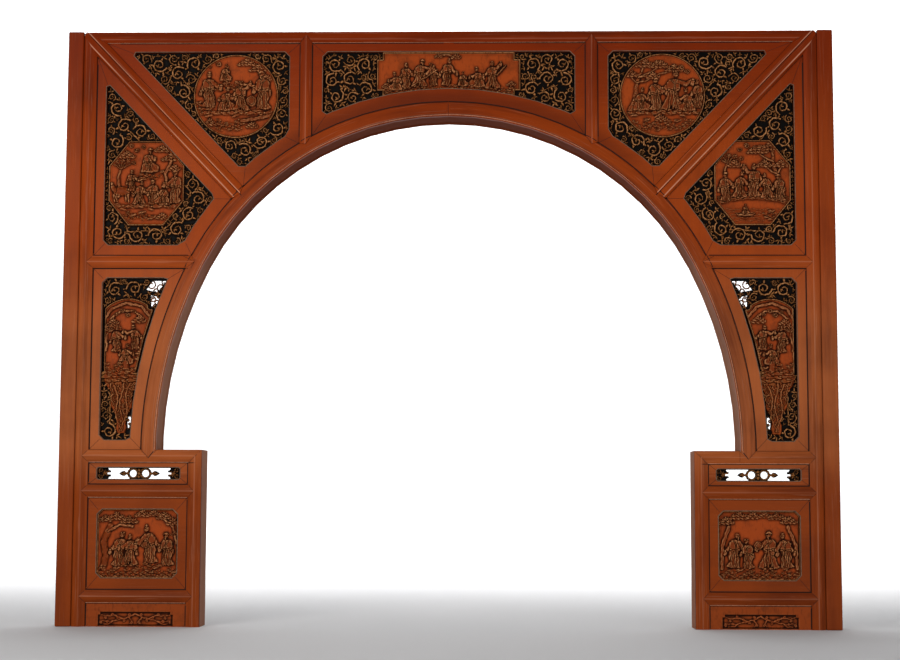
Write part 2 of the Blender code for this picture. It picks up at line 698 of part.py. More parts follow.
def widest_circles(outline, keep_off):
    """Centres and radii of the widest circles that fit in an outline, one after another."""
    left, right = [bound(x for x, _ in outline) for bound in (min, max)]
    low, high = [bound(z for _, z in outline) for bound in (min, max)]
    spots = []
    for row in range(1, math.ceil((high - low) / CURL_LATTICE)):
        for column in range(1, math.ceil((right - left) / CURL_LATTICE)):
            x, z = left + column * CURL_LATTICE, low + row * CURL_LATTICE
            if inside(outline, x, z) and not any(inside(other, x, z) for other in keep_off):
                room = min(distance_to(outline, x, z) - PANEL_LAP,
                           *(distance_to(other, x, z) for other in keep_off))
                spots.append((room - CURL_MARGIN, x, z))
    circles = []
    while len(circles) < CURL_COUNT:
        spots = [spot for spot in spots if spot[0] >= CURL_LEAST]
        if not spots:
            break
        room, x, z = max(spots, key=lambda spot: round(spot[0] / CURL_LATTICE, 2))
        radius = min(room, CURL_LARGEST)
        circles.append((x, z, radius))
        spots = [(min(room, math.dist((x, z), (a, b)) - radius), a, b) for room, a, b in spots]
    return circles


def curls(outline, keep_off):
    """A curl in each circle; each winds the other way from its nearest earlier neighbour."""
    shapes, hands = [], []
    circles = widest_circles(outline, keep_off)
    for index, (x, z, radius) in enumerate(circles):
        entry, hand = 0.0, 1
        if index:
            near = min(range(index), key=lambda i: math.dist((x, z), circles[i][:2]) - circles[i][2])
            entry = math.atan2(circles[near][1] - z, circles[near][0] - x)
            hand = -hands[near]
        hands.append(hand)
        shapes.append(curl(x, z, radius, entry, hand))
    return shapes


def curl(x, z, radius, entry, hand):
    """A stem that runs in at the entry angle and winds to a bud."""
    line, widths = [], []
    for step in range(CURL_STEPS + 1):
        share = step / CURL_STEPS
        angle = entry + hand * share * CURL_TURN
        reach = radius * CURL_REACH * (1 - CURL_CLOSING * share)
        line.append((x + reach * math.cos(angle), z + reach * math.sin(angle)))
        widths.append(radius * (STEM_WIDTH + BUD_WIDTH * share ** 3))
    return ribbon(line, widths, STRAND_RISE)


def disc(x, z, radius, sides):
    turn = 2 * math.pi / sides
    return [(x + radius * math.cos(turn * i), z + radius * math.sin(turn * i))
            for i in range(sides)]


def robed_figure(x, z, height, lean):
    """A standing figure in a wide robe: body with its sleeve, and head."""
    hand = 1 if lean >= 0 else -1

    def place(points):
        return [(x + (a * hand + lean * b) * height, z + b * height) for a, b in points]

    body = place(((-0.20, 0), (-0.14, 0.42), (-0.15, 0.80), (0.11, 0.82), (0.36, 0.60),
                  (0.12, 0.46), (0.20, 0)))
    fold = place(((-0.02, 0.72), (0, 0.48), (0.02, 0.10)))
    middle = (x + lean * height * 0.92, z + height * 0.91)
    return [(body, fold, FIGURE_RISE), (disc(*middle, height * 0.105, 5), [middle], FIGURE_RISE)]


def flat_topped_tree(x, z, height, lean, spread):
    top_x, top_z = x + lean * height, z + height
    trunk = ribbon([(x, z), (x + lean * height / 2, z + height * 0.45), (top_x, top_z)],
                   [height * 0.12, height * 0.07, height * 0.05], FIGURE_RISE)
    crown = [(top_x + a * spread, top_z + b * spread) for a, b in
             ((-1, -0.12), (-0.55, 0.20), (0.35, 0.28), (1, -0.12), (0.40, -0.20), (-0.45, -0.16))]
    ridge = [(top_x - spread * 0.5, top_z), (top_x + spread * 0.45, top_z + spread * 0.05)]
    return [trunk, (crown, ridge, FIGURE_RISE)]


def ground_band(left, right, z, thick, waves, bow=0.0):
    """A band of rock with a waved top."""
    steps = 4
    top, ridge = [], []
    middle = (left + right) / 2
    for step in range(steps + 1):
        x = left + (right - left) * step / steps
        lift = bow * (1 - ((x - middle) / (right - left) * 2) ** 2)
        wave = math.sin(waves + step * 1.9) * thick * 0.25
        top.append((x, z + lift + thick / 2 + wave))
        if 0 < step < steps:
            ridge.append((x, z + lift + wave * 0.5))
    base = [(right - thick * 0.6, z - thick / 2), (middle, z + bow - thick / 2),
            (left + thick * 0.6, z - thick / 2)]
    return (top + base, ridge, FIGURE_RISE * 0.7)


def scene(name, side, middle, unit):
    """The trees and figures of one panel, in units from the middle of its medallion."""
    shapes = []
    for across, up, height, lean, spread in TREES[name, side]:
        shapes += flat_topped_tree(middle[0] + side * across * unit, middle[1] + up * unit,
                                   height * unit, lean * side, spread * unit)
    for across, up, height, lean in FIGURES[name, side]:
        shapes += robed_figure(middle[0] + side * across * unit, middle[1] + up * unit,
                               height * unit, lean * side)
    return shapes


# The carved panels: each gives its grounds, its shapes and its pierced holes

def medallion_grounds(outline_at):
    """A medallion ground inside a raised rim, from its outline at a growth."""
    return [(outline_at(0.0), 0.0), (outline_at(-RIM_EDGE), RIM_RISE),
            (outline_at(-MEDALLION_RIM), GROUND_RISE)]


def roundel_carving(side):
    def medallion(grow):
        return disc(ROUNDEL_X, ROUNDEL_Z, ROUNDEL_RADIUS + grow, ROUNDEL_SIDES)

    unit = ROUNDEL_RADIUS
    band = ground_band(ROUNDEL_X - unit * 0.84, ROUNDEL_X + unit * 0.84, ROUNDEL_Z - unit * 0.40,
                       unit * 0.18, 0.4)
    shapes = curls(opening("roundel", PANEL_LAP), [medallion(0.0)]) + [band]
    return medallion_grounds(medallion), shapes + scene("roundel", side, (ROUNDEL_X, ROUNDEL_Z), unit), []


def octagon_carving(side):
    unit = OCTAGON_WIDTH / 2
    band = ground_band(OCTAGON_X - unit * 0.88, OCTAGON_X + unit * 0.88, OCTAGON_Z - unit * 0.66,
                       unit * 0.20, 1.4)
    shapes = curls(opening("octagon", PANEL_LAP), [octagon()]) + [band]
    return medallion_grounds(octagon), shapes + scene("octagon", side, (OCTAGON_X, OCTAGON_Z), unit), []


def centre_carving():
    outline = opening("centre", PANEL_LAP)
    right_half = clip(outline, (0, 0), (1, 0))
    shapes = []
    for one in curls(right_half, [cartouche()]):
        for hand in (-1, 1):
            shapes.append((mirrored(one[0], hand), mirrored(one[1], hand), one[2]))
    line = RING_WIDTH + FRAME_RING_SIDE
    unit = CARTOUCHE_HALF
    crown = ring_z(0, line)
    bow = crown - ring_z(unit, line)
    shapes.append(ground_band(-unit * 0.88, unit * 0.88, crown - bow + unit * 0.05, unit * 0.08, 0.9, bow))
    for across, height, lean in CENTRE_FIGURES:
        x = across * unit
        shapes += robed_figure(x, ring_z(x, line) + unit * 0.05, height * unit, lean)
    grounds = [(cartouche(), 0.0), (cartouche(-RIM_EDGE), GROUND_RISE)]
    return grounds, shapes, []


def narrow_place(across, up):
    """A place in the opening of a narrow panel, in shares of its width from the ring side and up."""
    low = PEDESTAL_HEIGHT + FRAME_SIDE
    z = low + (UPPER_RAIL_Z - FRAME_SIDE - low) * up
    ring_side = ring_x(z, RING_WIDTH + NARROW_RING_SIDE)
    return (ring_side + (STILE_INNER - FRAME_SIDE - ring_side) * across, z)


def narrow_carving(side):
    floor_z, top_z = narrow_place(0, NARROW_FLOOR)[1], narrow_place(0, NARROW_TOP)[1]

    def medallion(grow):
        shape = clip(opening("narrow", grow - NARROW_INSET), (0, floor_z - grow), (0, 1))
        shape = tidy_outline(clip(shape, (0, top_z + grow), (0, -1)), NARROW_CORNER)
        return cut_corners(shape, NARROW_CORNER)

    middle = narrow_place(0.5, NARROW_FLOOR)
    unit = (narrow_place(1, NARROW_FLOOR)[0] - narrow_place(0, NARROW_FLOOR)[0]) / 2
    band = ground_band(middle[0] - unit * 0.75, middle[0] + unit * 0.75, middle[1] - unit * 0.10,
                       unit * 0.40, 0.2)
    water = ribbon([narrow_place(0.5, up) for up in (0.34, 0.26, 0.18, 0.08)],
                   [unit * wide for wide in (1.20, 1.00, 0.70, 0.30)], FIGURE_RISE)
    holes = [[narrow_place(across, up) for across, up in hole] for hole in DAYLIGHT]
    keep_off = [medallion(0.0), water[0], *holes]
    shapes = curls(opening("narrow", PANEL_LAP), keep_off) + [water, band]
    grounds = [(medallion(0.0), 0.0), (medallion(-RIM_EDGE), GROUND_RISE)]
    return grounds, shapes + scene("narrow", side, middle, unit), holes


def figure_carving(side):
    left = PEDESTAL_STILE_OUTER + FRAME_SIDE
    right = STILE_INNER - FRAME_SIDE
    low = BASE_RAIL_Z + RAIL_HEIGHT + FIGURE_FRAME_TOP
    high = MIDDLE_RAIL_Z - FIGURE_FRAME_TOP
    unit = (right - left) / 2
    middle = ((left + right) / 2, (low + high) / 2)
    band = ground_band(left + unit * 0.05, right - unit * 0.05, low + unit * 0.18, unit * 0.28, 0.6)
    return [], [band] + scene("figure", side, middle, unit), []


def fret_carving():
    """Two joined rings with finials between solid ends; the rest is pierced."""
    left = PEDESTAL_STILE_OUTER + FRET_FRAME_END
    right = STILE_INNER - FRET_FRAME_END
    low = MIDDLE_RAIL_Z + RAIL_HEIGHT + FRET_FRAME_TOP
    high = PEDESTAL_RAIL_Z - FRET_FRAME_TOP
    middle_x, middle_z = (left + right) / 2, (low + high) / 2
    half = (high - low) / 2
    end = ((right - left) / 2 - FRET_END) / half
    shapes, holes = [], []
    for hand in (-1, 1):
        def place(points):
            return [(middle_x + hand * a * half, middle_z + b * half) for a, b in points]

        ring_side = [(FRET_RING + a, b) for a, b in FRET_BULB]
        end_side = [(end + a, b) for a, b in FRET_SCROLL]
        lower = [(a, -b) for a, b in ring_side[::-1] + end_side[::-1]]
        holes.append(place(ring_side + lower + end_side))
        holes.append(disc(middle_x + hand * half * FRET_RING, middle_z, half * FRET_HOLE,
                          FRET_HOLE_SIDES))
        for level_hand in (-1, 1):
            shapes.append(ribbon(place(((end + 1.5, level_hand * 0.85), (end + 0.7, level_hand * 0.5),
                                        (end + 1.25, level_hand * 0.2))),
                                 [half * 0.3, half * 0.4, half * 0.5], STRAND_RISE))
    return [], shapes, holes


def carved_panel(name, bay_name, carving, side, finish):
    """A carved panel: it laps behind its frame, and its carving stays inside the opening."""
    grounds, shapes, holes = carving
    board(name, mirrored(opening(bay_name, PANEL_LAP), side), PLATE_FRONT, PLATE_BACK, finish,
          voids=[mirrored(hole, side) for hole in holes],
          window=mirrored(opening(bay_name, -GAP * 2), side),
          grounds=[(mirrored(outline, side), rise) for outline, rise in grounds],
          shapes=[(mirrored(outline, side), mirrored(ridge, side), rise)
                  for outline, ridge, rise in shapes])


def flat_frame(name, bay_name, side, finish):
    board(name, mirrored(bay(bay_name), side), FRAME_FRONT, FRAME_BACK, finish,
          voids=[mirrored(opening(bay_name), side)])


def branch_board(name, side, finish):
    """The lowest board, with a sunk field and blossom branches left standing in it."""
    outline = bay("base", foot_in=0)
    left = PEDESTAL_STILE_OUTER + BRANCH_MARGIN
    right = STILE_INNER - BRANCH_MARGIN
    middle = (left + right) / 2

    def field(grow):
        return [(left - grow, BRANCH_FOOT - grow), (right + grow, BRANCH_FOOT - grow),
                (right + grow, BRANCH_TOP - BRANCH_CUT), (right - BRANCH_CUT, BRANCH_TOP + grow),
                (left + BRANCH_CUT, BRANCH_TOP + grow), (left - grow, BRANCH_TOP - BRANCH_CUT)]

    shapes = []
    half = (right - left) / 2
    for hand in (-1, 1):
        for branch in BRANCHES:
            line = [(middle + hand * a * half, BRANCH_FOOT + (BRANCH_TOP - BRANCH_FOOT) * b)
                    for a, b in branch]
            widths = [BRANCH_WIDTH * (1 - 0.5 * i / (len(line) - 1)) for i in range(len(line))]
            shapes.append(ribbon(line, widths, BRANCH_SINK))
    board(name, mirrored(outline, side), FRAME_FRONT, FRAME_BACK, finish,
          window=mirrored(field(BRANCH_EDGE), side),
          grounds=[(mirrored(field(0.0), side), -BRANCH_SINK)],
          shapes=[(mirrored(o, side), mirrored(r, side), rise) for o, r, rise in shapes])


def ring_x(z, offset):
    """The x of the arch line, moved out by an offset, at a height."""
    if z > PEDESTAL_HEIGHT + (HAUNCH_RADIUS + offset) * math.sin(CHANGE_ANGLE):
        return math.sqrt((CROWN_RADIUS + offset) ** 2 - (z - CROWN_CENTRE_Z) ** 2)
    return math.sqrt((HAUNCH_RADIUS + offset) ** 2 - (z - PEDESTAL_HEIGHT) ** 2) - HAUNCH_OFFSET


def ring_z(x, offset):
    return CROWN_CENTRE_Z + math.sqrt((CROWN_RADIUS + offset) ** 2 - x ** 2)


def joint_reach(v, offset):
    """How far down the diagonal joint a line at v from it meets the arch line."""
    start = Vector(JOINT_POINT) + Vector(JOINT_NORMAL) * v - Vector((0, CROWN_CENTRE_Z))
    along = start.dot(Vector(JOINT_DIRECTION))
    return -along - math.sqrt(along ** 2 - start.length_squared + (CROWN_RADIUS + offset) ** 2)


def plan_outline(start, end, low, high, cut_start, cut_end, steps=6):
    """Plan of a member, grown by the clearance, for the notch that takes it."""
    first, last = Vector(start), Vector(end)
    run = (last - first).normalized()
    across = Vector((-run.y, run.x))
    near, far = [], []
    for step in range(steps + 1):
        v = low + (high - low) * step / steps
        spread = v + GAP * (2 * step / steps - 1)
        near.append(first + across * spread - run * (cut_start(v) + GAP * 1.5))
        far.append(last + across * spread + run * (cut_end(v) + GAP * 1.5))
    return [tuple(point) for point in near + far[::-1]]


def build_leg(word, side, wood):
    """Post, stiles, rails and ring of one leg, and its diagonal."""
    post_outline = mirrored(rectangle(POST_INNER + GAP, OUTER, 0, HEIGHT), side)
    post = prism("outer_post_" + word, post_outline, FRONT, BACK, wood)
    edge = post.modifiers.new("edges", "BEVEL")
    edge.width = POST_BEVEL
    edge.segments = 2
    edge.limit_method = "ANGLE"

    half = STILE_WIDTH / 2
    stile_x = STILE_INNER + half
    corner_low = (JOINT_POINT[1] + (STILE_INNER - JOINT_POINT[0]) * math.tan(SLOPE)
                  - DIAGONAL_LOWER_WIDTH / math.cos(SLOPE))
    corner_high = HEIGHT - STILE_TOP_DROP
    top_mitre = mitre((corner_low - corner_high) / STILE_WIDTH)
    stile = member("stile_" + word, (stile_x, 0), (stile_x, (corner_low + corner_high) / 2 - GAP),
                   crest_section(-half, half, 0.0, BACK), straight, top_mitre, side, wood)

    half = PEDESTAL_STILE_WIDTH / 2
    inner_x = PEDESTAL_INNER + half
    inner_mitre = mitre(PEDESTAL_RAIL_HEIGHT / PEDESTAL_STILE_WIDTH)
    inner_top = PEDESTAL_HEIGHT - PEDESTAL_RAIL_HEIGHT / 2 - GAP
    inner = member("pedestal_stile_" + word, (inner_x, 0), (inner_x, inner_top),
                   crest_section(-half, half, 0.0, BACK), straight, inner_mitre, side, wood)

    foot_point, foot_lines = ring_foot()
    ring = ring_piece("ring_leg_" + word, [joint_line(GAP / 2), *foot_lines], side, wood)

    def rail(name, z, height, start, end, cut_start, cut_end, back, meets):
        half_high = height / 2
        spots = ((start, z + half_high), (end, z + half_high))
        made = member(name + "_" + word, *spots, crest_section(-half_high, half_high, 0.0, back),
                      cut_start, cut_end, side, wood)
        outline = plan_outline(*spots, -half_high, half_high, cut_start, cut_end)
        for target in meets:
            notch(target, mirrored(outline, side), back, wood)
        return made

    half = RAIL_HEIGHT / 2
    tip = arrow(ARROW_REACH, -half, half, 0.0)
    for name, z in (("base_rail", BASE_RAIL_Z), ("middle_rail", MIDDLE_RAIL_Z)):
        rail(name, z, RAIL_HEIGHT, PEDESTAL_STILE_OUTER, STILE_INNER, tip, tip, LIGHT_BACK,
             (inner, stile))

    def ring_tip(v):
        edge = ring_x(UPPER_RAIL_Z + half + v, RING_WIDTH)
        return upper_start - edge + tip(v)

    upper_start = ring_x(UPPER_RAIL_Z + half, RING_WIDTH)
    rail("upper_rail", UPPER_RAIL_Z, RAIL_HEIGHT, upper_start, STILE_INNER, ring_tip, tip,
         LIGHT_BACK, (ring, stile))

    half = PEDESTAL_RAIL_HEIGHT / 2
    tip = arrow(ARROW_REACH, -half, half, 0.0)
    corner_mitre = mitre(PEDESTAL_STILE_WIDTH / PEDESTAL_RAIL_HEIGHT)
    top = rail("pedestal_rail", PEDESTAL_RAIL_Z, PEDESTAL_RAIL_HEIGHT, inner_x + GAP, STILE_INNER,
               corner_mitre, tip, BACK, (stile,))
    notch(top, mirrored(foot_point, side), BACK + DEPTH, wood)

    build_diagonal(word, side, "lower", ring, corner_low, corner_high, wood)


def ring_foot():
    """Outline of the notch for the ring's pointed foot, and the two lines that cut it."""
    inner = (ring_x(PEDESTAL_HEIGHT, 0) - SOFFIT_BEAD, PEDESTAL_HEIGHT)
    outer = (ring_x(PEDESTAL_HEIGHT, RING_WIDTH), PEDESTAL_HEIGHT)
    tip = ((inner[0] + outer[0]) / 2, PEDESTAL_HEIGHT - RING_FOOT)
    grown = GAP * 2
    notch_outline = [(inner[0] - grown, PEDESTAL_HEIGHT), (tip[0], tip[1] - grown),
                     (outer[0] + grown, PEDESTAL_HEIGHT), (outer[0] + grown, HEIGHT),
                     (inner[0] - grown, HEIGHT)]
    lines = [(tip, (tip[1] - inner[1], inner[0] - tip[0])),
             (tip, (outer[1] - tip[1], tip[0] - outer[0]))]
    lines = [(point, normal if normal[1] > 0 else (-normal[0], -normal[1]))
             for point, normal in lines]
    return notch_outline, lines


def build_diagonal(word, side, which, ring, corner_low, corner_high, wood):
    """One half of the diagonal member; v runs from the joint, to the leg side if positive."""
    lower = which == "lower"
    width = DIAGONAL_LOWER_WIDTH if lower else DIAGONAL_UPPER_WIDTH
    hand = 1 if lower else -1
    start = Vector(JOINT_POINT)
    end = start + Vector(JOINT_DIRECTION) * joint_reach(0, RING_WIDTH)

    def along(point):
        return (Vector(point) - start).dot(Vector(JOINT_DIRECTION))

    def off(point):
        return (Vector(point) - start).dot(Vector(JOINT_NORMAL))

    if lower:
        corners = ((POST_INNER, corner_high), (STILE_INNER, corner_low))
    else:
        drop = TOP_RAIL_HEIGHT / math.tan(SLOPE) + DIAGONAL_UPPER_WIDTH / math.sin(SLOPE)
        corners = (JOINT_POINT, (JOINT_POINT[0] - drop, TOP_RAIL_Z))
    (near_s, near_v), (far_s, far_v) = [(along(c), off(c)) for c in corners]

    def head(v):
        share = (v - near_v) / (far_v - near_v)
        return -(max(near_s, near_s + (far_s - near_s) * share) + GAP)

    def foot(v):
        edge = joint_reach(v, RING_WIDTH) - joint_reach(0, RING_WIDTH)
        return edge + DIAGONAL_REACH * (1 - abs(v) / width)

    ends = sorted((hand * GAP / 2, hand * width))
    if lower:
        section = crest_section(*ends, width * DIAGONAL_LOWER_CREST, LIGHT_BACK,
                                low_drop=JOINT_SHOULDER)
    else:
        section = crest_section(*ends, -width * DIAGONAL_UPPER_CREST, LIGHT_BACK,
                                high_drop=JOINT_ARRIS)
    member("diagonal_" + which + "_" + word, start, end, section, head, foot, side, wood)
    outline = plan_outline(start, end, *ends, lambda v: 0.0, foot)
    notch(ring, mirrored(outline, side), LIGHT_BACK, wood)


def build_top(wood):
    """Top rail, muntins, crown half rings and the upper halves of the diagonals."""
    half = TOP_RAIL_HEIGHT / 2
    slope = 1 / math.tan(SLOPE) + DIAGONAL_UPPER_WIDTH / math.sin(SLOPE) / TOP_RAIL_HEIGHT
    end_x = JOINT_POINT[0] - slope * half - GAP
    section = crest_section(-half, half, TOP_CREST - half, BACK)
    top = member("top_rail", (-end_x, TOP_RAIL_Z + half), (end_x, TOP_RAIL_Z + half), section,
                 mitre(slope), mitre(slope), 1, wood)
    for word, side in SIDES:
        cuts = [((GAP / 2, 0), (1, 0)), flipped(joint_line(-GAP / 2))]
        crown = ring_piece("ring_crown_" + word, cuts, side, wood)
        build_diagonal(word, side, "upper", crown, 0, 0, wood)
        half = MUNTIN_WIDTH / 2
        foot_z = ring_z(MUNTIN_X, RING_WIDTH)

        def foot(v):
            return foot_z - ring_z(MUNTIN_X + v, RING_WIDTH) + MUNTIN_FOOT * (1 - abs(v) / half)

        head = arrow(MUNTIN_HEAD, -half, half, 0.0)
        spots = ((MUNTIN_X, TOP_RAIL_Z), (MUNTIN_X, foot_z))
        member("muntin_" + word, *spots, crest_section(-half, half, 0.0, LIGHT_BACK), head, foot,
               side, wood)
        outline = plan_outline(*spots, -half, half, head, foot)
        for target in (top, crown):
            notch(target, mirrored(outline, side), LIGHT_BACK, wood)


def flipped(line):
    point, normal = line
    return (point, (-normal[0], -normal[1]))


def build_panels(frame_wood, carved):
    for word, side in SIDES:
        carvings = {"roundel": roundel_carving(side), "octagon": octagon_carving(side),
                    "narrow": narrow_carving(side), "figure": figure_carving(side),
                    "fret": fret_carving()}
        for bay_name, carving in carvings.items():
            flat_frame(bay_name + "_frame_" + word, bay_name, side, frame_wood)
            carved_panel(bay_name + "_panel_" + word, bay_name, carving, side, carved)
        branch_board("branch_board_" + word, side, frame_wood)
    flat_frame("centre_frame", "centre", 1, frame_wood)
    carved_panel("centre_panel", "centre", centre_carving(), 1, carved)


def main():
    clear_scene()
    frame_wood = material("frame_wood", (0.27, 0.065, 0.022), 0.32)
    carved = material("carved_wood", (0.33, 0.105, 0.035), 0.40)
    for word, side in SIDES:
        build_leg(word, side, frame_wood)
    build_top(frame_wood)
    build_panels(frame_wood, carved)


main()
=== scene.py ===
import math

import bpy
import numpy as np
from mathutils import Matrix, Vector
from mathutils.bvhtree import BVHTree


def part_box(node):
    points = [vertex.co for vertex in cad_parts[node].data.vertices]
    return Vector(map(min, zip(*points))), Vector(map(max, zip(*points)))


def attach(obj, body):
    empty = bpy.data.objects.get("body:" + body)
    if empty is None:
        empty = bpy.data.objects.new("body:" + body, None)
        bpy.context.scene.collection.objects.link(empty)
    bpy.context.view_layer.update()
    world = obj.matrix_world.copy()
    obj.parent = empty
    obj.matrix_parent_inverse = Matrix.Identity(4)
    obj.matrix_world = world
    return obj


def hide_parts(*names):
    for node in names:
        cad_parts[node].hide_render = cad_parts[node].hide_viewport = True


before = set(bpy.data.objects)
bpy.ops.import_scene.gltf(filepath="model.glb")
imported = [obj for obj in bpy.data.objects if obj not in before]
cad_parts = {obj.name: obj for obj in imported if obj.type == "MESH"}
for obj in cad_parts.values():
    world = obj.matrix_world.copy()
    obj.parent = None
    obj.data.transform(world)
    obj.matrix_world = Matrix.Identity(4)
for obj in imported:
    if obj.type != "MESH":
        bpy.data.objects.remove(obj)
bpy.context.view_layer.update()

# Sizes in metres. The front faces -Y, and left and right are as seen from the front.

archway = {
    "frontY": -0.075, "fieldY": -0.061, "plateY": -0.0387,
    "crownRadius": 1.104, "crownZ": 0.945, "haunchOffset": 0.479, "footZ": 0.700,
    "ringWidth": 0.060, "jointX": 1.476, "jointZ": 2.400, "jointDegrees": 46.5,
    "jointLength": 0.931}
sides = (("left", -1), ("right", 1))


def colourOf(text):
    parts = [int(text[i:i + 2], 16) / 255 for i in (0, 2, 4)]
    return (*[p / 12.92 if p < 0.04045 else ((p + 0.055) / 1.055) ** 2.4 for p in parts], 1.0)


# Shader expressions

class Signal:
    def __init__(self, tree, socket=None):
        self.tree = tree
        self.socket = socket

    def plug(self, target, value):
        if isinstance(value, Signal):
            self.tree.links.new(value.socket, target)
        else:
            target.default_value = value

    def make(self, kind, settings, sockets, output=0):
        node = self.tree.nodes.new(kind)
        for name, value in settings.items():
            setattr(node, name, value)
        for name, value in sockets.items():
            self.plug(node.inputs[name], value)
        return Signal(self.tree, node.outputs[output])

    def maths(self, operation, *others):
        sockets = dict(enumerate((self, *others)))
        return self.make("ShaderNodeMath", {"operation": operation}, sockets)

    def __add__(self, other):
        return self.maths("ADD", other)

    def __sub__(self, other):
        return self.maths("SUBTRACT", other)

    def __rsub__(self, other):
        return self.maths("MULTIPLY_ADD", -1.0, other)

    def __mul__(self, other):
        return self.maths("MULTIPLY", other)

    def __pow__(self, other):
        return self.maths("POWER", other)

    __radd__ = __add__
    __rmul__ = __mul__

    def size(self):
        return self.maths("ABSOLUTE")

    def step(self, low, high):
        # 0 below low, 1 above high, smooth between them; high may be the lower of the two
        return self.make("ShaderNodeMapRange", {"interpolation_type": "SMOOTHSTEP"},
                         {"Value": self, "From Min": low, "From Max": high})

    def mix(self, first, second):
        return self.make("ShaderNodeMix", {"data_type": "RGBA"},
                         {"Factor": self, 6: first, 7: second}, 2)

    def noise(self, scale, detail, rough):
        return self.make("ShaderNodeTexNoise", {},
                         {"Vector": self, "Scale": scale, "Detail": detail, "Roughness": rough})

    def scaled(self, vector):
        return self.make("ShaderNodeVectorMath", {"operation": "MULTIPLY"}, {0: self, 1: vector})

    def parts(self):
        node = self.make("ShaderNodeSeparateXYZ", {}, {0: self}).socket.node
        return [Signal(self.tree, out) for out in node.outputs]

    def joined(self, x, y, z):
        return self.make("ShaderNodeCombineXYZ", {}, {0: x, 1: y, 2: z})

    def named(self, name):
        return self.make("ShaderNodeAttribute", {"attribute_name": name}, {}, 2)


def startMaterial(name, look):
    material = bpy.data.materials.new(name)
    material.use_nodes = True
    tree = material.node_tree
    shader = tree.nodes["Principled BSDF"]
    shader.inputs["Specular IOR Level"].default_value = look["gloss"]
    start = Signal(tree)
    position = start.make("ShaderNodeTexCoord", {}, {}, 3)
    return material, shader, start, position


def finishMaterial(shader, start, colour, roughness, height, distance):
    bump = start.make("ShaderNodeBump", {}, {"Strength": 0.6, "Distance": distance, "Height": height})
    start.plug(shader.inputs["Base Color"], colour)
    start.plug(shader.inputs["Roughness"], roughness)
    start.plug(shader.inputs["Normal"], bump)


def arcPosition(start, position):
    # distance out from the arch line, depth, and distance along it
    x, y, z = position.parts()
    away = x.size()
    crownZ, haunchOffset = archway["crownZ"], archway["haunchOffset"]
    drop = crownZ - archway["footZ"]
    haunchRadius = archway["crownRadius"] + math.hypot(haunchOffset, drop)
    isHaunch = (away * drop - (z - crownZ) * haunchOffset).step(-0.0005, 0.0005)
    overX = away + isHaunch * haunchOffset
    overZ = z - crownZ + isHaunch * drop
    reach = (overX ** 2 + overZ ** 2) ** 0.5
    radius = isHaunch * (haunchRadius - archway["crownRadius"]) + archway["crownRadius"]
    turn = overZ.maths("ARCTAN2", overX)
    return start.joined(reach - radius, y, turn * radius + x.step(-0.01, 0.01) * 3.0)


lacquer = {
    "top": "7C2805", "upper": "983E10", "waist": "A85A2E", "low": "883A10",
    # the recessed faces take the dust colour, which is dust with a painted sheen, low down, and the shade
    # colour, which is painted shade, high up
    "dark": "4A1A0C", "pale": "E0A888", "groove": "1E0A05", "dustAndPaintedLight": "8C6450", "shade": "582A18",
    # the arris strength is a painted highlight along the crests, the strength beside the ring a painted
    # shadow of the ring on the frames, and the right shade painted shade towards the right
    "grain": 30.0, "streak": 0.42, "arrisHighlight": 0.5, "ringShadow": 0.55, "rightShade": 0.06,
    "roughness": 0.44, "gloss": 0.045,
    # heights over which one tone turns into the next, and distances over which shades fade
    "upperFrom": (2.38, 1.80), "waistFrom": (1.60, 1.05), "lowFrom": (0.78, 0.50),
    "dustAndPaintedLightFrom": (1.25, 1.75), "rightFrom": (0.9, 1.5), "ringShadowFrom": (0.085, 0.010),
    "ringShadowHeights": (1.72, 1.95)}


